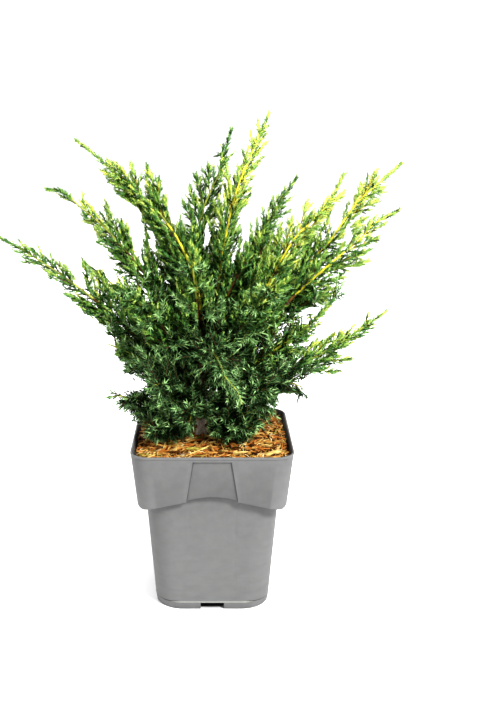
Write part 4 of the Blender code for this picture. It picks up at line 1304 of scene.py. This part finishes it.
def shown_shoots(growth, limb):
    """The slender side shoots of a limb whose tips the photograph shows."""
    for table, golden in ((SHOOTS, False), (GOLDEN_SHOOTS, True)):
        for share, right, down in table.get(limb.name, ()):
            root = limb.at(share)
            nearness = growth.draw.uniform(-0.003, 0.003)
            depth = limb.at(min(share + 0.12, 1.0)).y + nearness
            tangent = limb.heading(share)
            arc = Arc.between(root, unseen(right, down, depth), tangent, 0.12)
            light = 0.20 + 0.35 * share + limb.bright * (0.3 + 0.7 * share)
            if golden:
                light = GOLDEN_LIGHT
            growth.twig(arc.points(6), SHOOT_STEM_RADIUS,
                        "twigs_gold" if light > 0.5 else "twigs_green")
            if limb.all_needles:
                juvenile_shoot(growth, arc, tangent)
            elif golden or arc.length < SHORT_SHOOT:
                scale_twig(growth, arc, light, SHORT_BRANCHLET)
            else:
                side_shoots(growth, arc, 0.10, 0.80, SHOOT_TWIG_SPACING,
                            lambda s: 0.0090 * (1.0 - 0.50 * s),
                            lambda s: light + 0.35 * (s - 0.5),
                            lambda s, place: limb.juvenile(share, place), ANY_ROOM)
                tapering_tip(growth, arc, 0.72, 0.28, light + 0.2)


def lit_needles(growth, limb, first, last):
    """Needles in threes along a young shoot that hangs in front of the rest, all in the pale tone as
    painted light.
    """
    draw = growth.draw
    width = NEEDLE_WIDTH * 1.15
    count = round(limb.length * (last - first) / LIT_NEEDLE_SPACING)
    for k in range(count):
        t = first + (last - first) * k / count
        tangent = limb.heading(t)
        for third in range(3):
            around = radians(60) * k + third * 2.1 + draw.uniform(-0.2, 0.2)
            out = turned(tangent, growth.lean(LIT_LEAN), around)
            size = NEEDLE_LENGTH * draw.uniform(0.80, 1.10)
            growth.rows["lit"].append((*limb.at(t), *out, *tangent, width, width, size))


def skirt(growth, limb, sprigs, darkest, lightest):
    """Juvenile sprigs that crowd a limb, and hang over the mulch where it is a low one."""
    draw = growth.draw
    turn = draw.uniform(0, 2 * pi)
    for k in range(sprigs):
        t = 0.10 + 0.85 * (k + draw.random()) / sprigs
        turn += GOLDEN_ANGLE
        direction = turned(limb.heading(t), growth.lean(SPRIG_LEAN), turn)
        for length in SPRIG_LENGTHS:
            arc = Arc(limb.at(t), direction, length, UP, 0.10)
            if growth.space.holds([arc.at(1.1), arc.at(0.6)], SPRIG_ROOM):
                needle_twig(growth, arc, draw.uniform(darkest, lightest))
                for side in (-1, 1):
                    aside = turned(arc.heading(0.5), radians(42), turn + side * 1.6)
                    small = Arc(arc.at(0.45), aside, length * 0.5, UP, 0.1)
                    if growth.space.holds([small.at(1.1)], SPRIG_ROOM):
                        needle_twig(growth, small, draw.uniform(darkest, lightest) + 0.1)
                break


def heart(growth):
    """Juvenile twigs round the trunk and the bare lengths of the boughs."""
    draw = growth.draw
    for limb in LIMBS:
        count = 14 if limb.has_bough else 8
        for k in range(count):
            t = 0.04 + 0.30 * (k + draw.random()) / count
            lean = growth.lean(HEART_LEAN)
            direction = turned(limb.heading(t), lean, draw.uniform(0, 2 * pi))
            arc = Arc(limb.at(t), direction, draw.uniform(*HEART_LENGTHS), UP, 0.15)
            if growth.space.holds([arc.at(1.0), arc.at(0.6)], SPRIG_ROOM):
                # Painted shade: twigs deep inside take dark tones
                needle_twig(growth, arc, draw.uniform(-0.30, 0.15))


def make_foliage():
    growth = Growth()
    for limb in LIMBS:
        main_plume(growth, limb)
        side_plumes(growth, limb)
        shown_shoots(growth, limb)
        if limb.all_needles:
            skirt(growth, limb, SPRIGS_LOW, -0.05, 0.40)
        elif limb.name in FRONT_MIDDLE:
            skirt(growth, limb, SPRIGS_FRONT, 0.10, 0.60)
        if limb.name == "front_droop":
            lit_needles(growth, limb, 0.10, 0.98)
    heart(growth)
    lines = shown_lines()
    pieces = []
    for tones, shape, roughness in ((SCALE_TONES, branchlet_shape(), 0.52),
                                    (NEEDLE_TONES, needle_shape(), 0.45)):
        for name, (dark, light) in tones.items():
            rows = kept(growth.rows[name], lines)
            if name == LIT_TONE:
                rows = np.concatenate([rows, np.array(growth.rows["lit"])])
            look = mottled(name, dark, light, 260, roughness, 0.35, 2400, specular=0.15)
            pieces += add_scattered(name, shape, rows, look, "juniper_foliage")
    for name, tone in TWIG_TONES.items():
        rows = kept(growth.rows[name], lines)
        add_scattered(name, prism(0.8), rows, mottled(*tone), "juniper_foliage")
    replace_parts(pieces[0], *["foliage_" + limb.name for limb in LIMBS])


# Setting

def make_floor():
    """Matte white, greyed by a painted contact shadow near the pot, with a dark painted shade under it.
    """
    look = Look("floor", 0.9)
    away = look.add("VectorMath", "LENGTH", Vector=look.place).outputs["Value"]
    # Painted contact shadow: the floor greys towards the pot
    shade = look.ramp(away, (0.08, 0.72), (0.30, 0.94))
    # Painted shade: a dark disc under the pot, seen through the drain channels
    painted_shade_under_pot = look.ramp(away, (0.0490, 0.06), (0.0525, 1.0))
    look.put(look.finish["Base Color"], look.mix("MULTIPLY", 1.0, shade, painted_shade_under_pot))
    size = FLOOR_SIZE
    corners = [(-size, -size, 0), (size, -size, 0), (size, size, 0), (-size, size, 0)]
    floor = new_object("floor", new_mesh("floor", corners, [(0, 1, 2, 3)]))
    floor.data.materials.append(look.material)


def make_setting():
    """A pale floor, soft studio light from all round, and a key light from the upper right."""
    scene = bpy.context.scene
    scene.world = bpy.data.worlds.new("studio")
    scene.world.use_nodes = True
    background = scene.world.node_tree.nodes["Background"].inputs
    background["Color"].default_value = (1.0, 1.0, 1.0, 1.0)
    background["Strength"].default_value = 1.0
    make_floor()
    for name, place, size, power in LAMPS:
        light = bpy.data.lights.new(name, "AREA")
        light.energy = power
        light.size = size
        lamp = new_object(name, light)
        lamp.location = place
        lamp.rotation_euler = (LAMP_AIM - Vector(place)).to_track_quat("-Z", "Y").to_euler()
    scene.view_settings.view_transform = "Standard"
    scene.view_settings.look = "High Contrast"


def make_camera():
    camera = bpy.data.cameras.new("photo_view")
    camera.sensor_fit = "VERTICAL"
    camera.sensor_height = SENSOR
    camera.lens = SENSOR * FOCAL_PIXELS / PHOTO_HEIGHT
    camera.shift_x = (PHOTO_WIDTH / 2 - POT_CENTRE_PIXEL) / PHOTO_HEIGHT
    camera.clip_start = 0.01
    made = new_object("photo_view", camera)
    made.location = CAMERA_PLACE
    made.rotation_euler = (radians(90 - CAMERA_PITCH), 0.0, 0.0)
    bpy.context.scene.camera = made


make_camera()
make_setting()
make_pot()
make_mulch()
make_wood()
make_foliage()
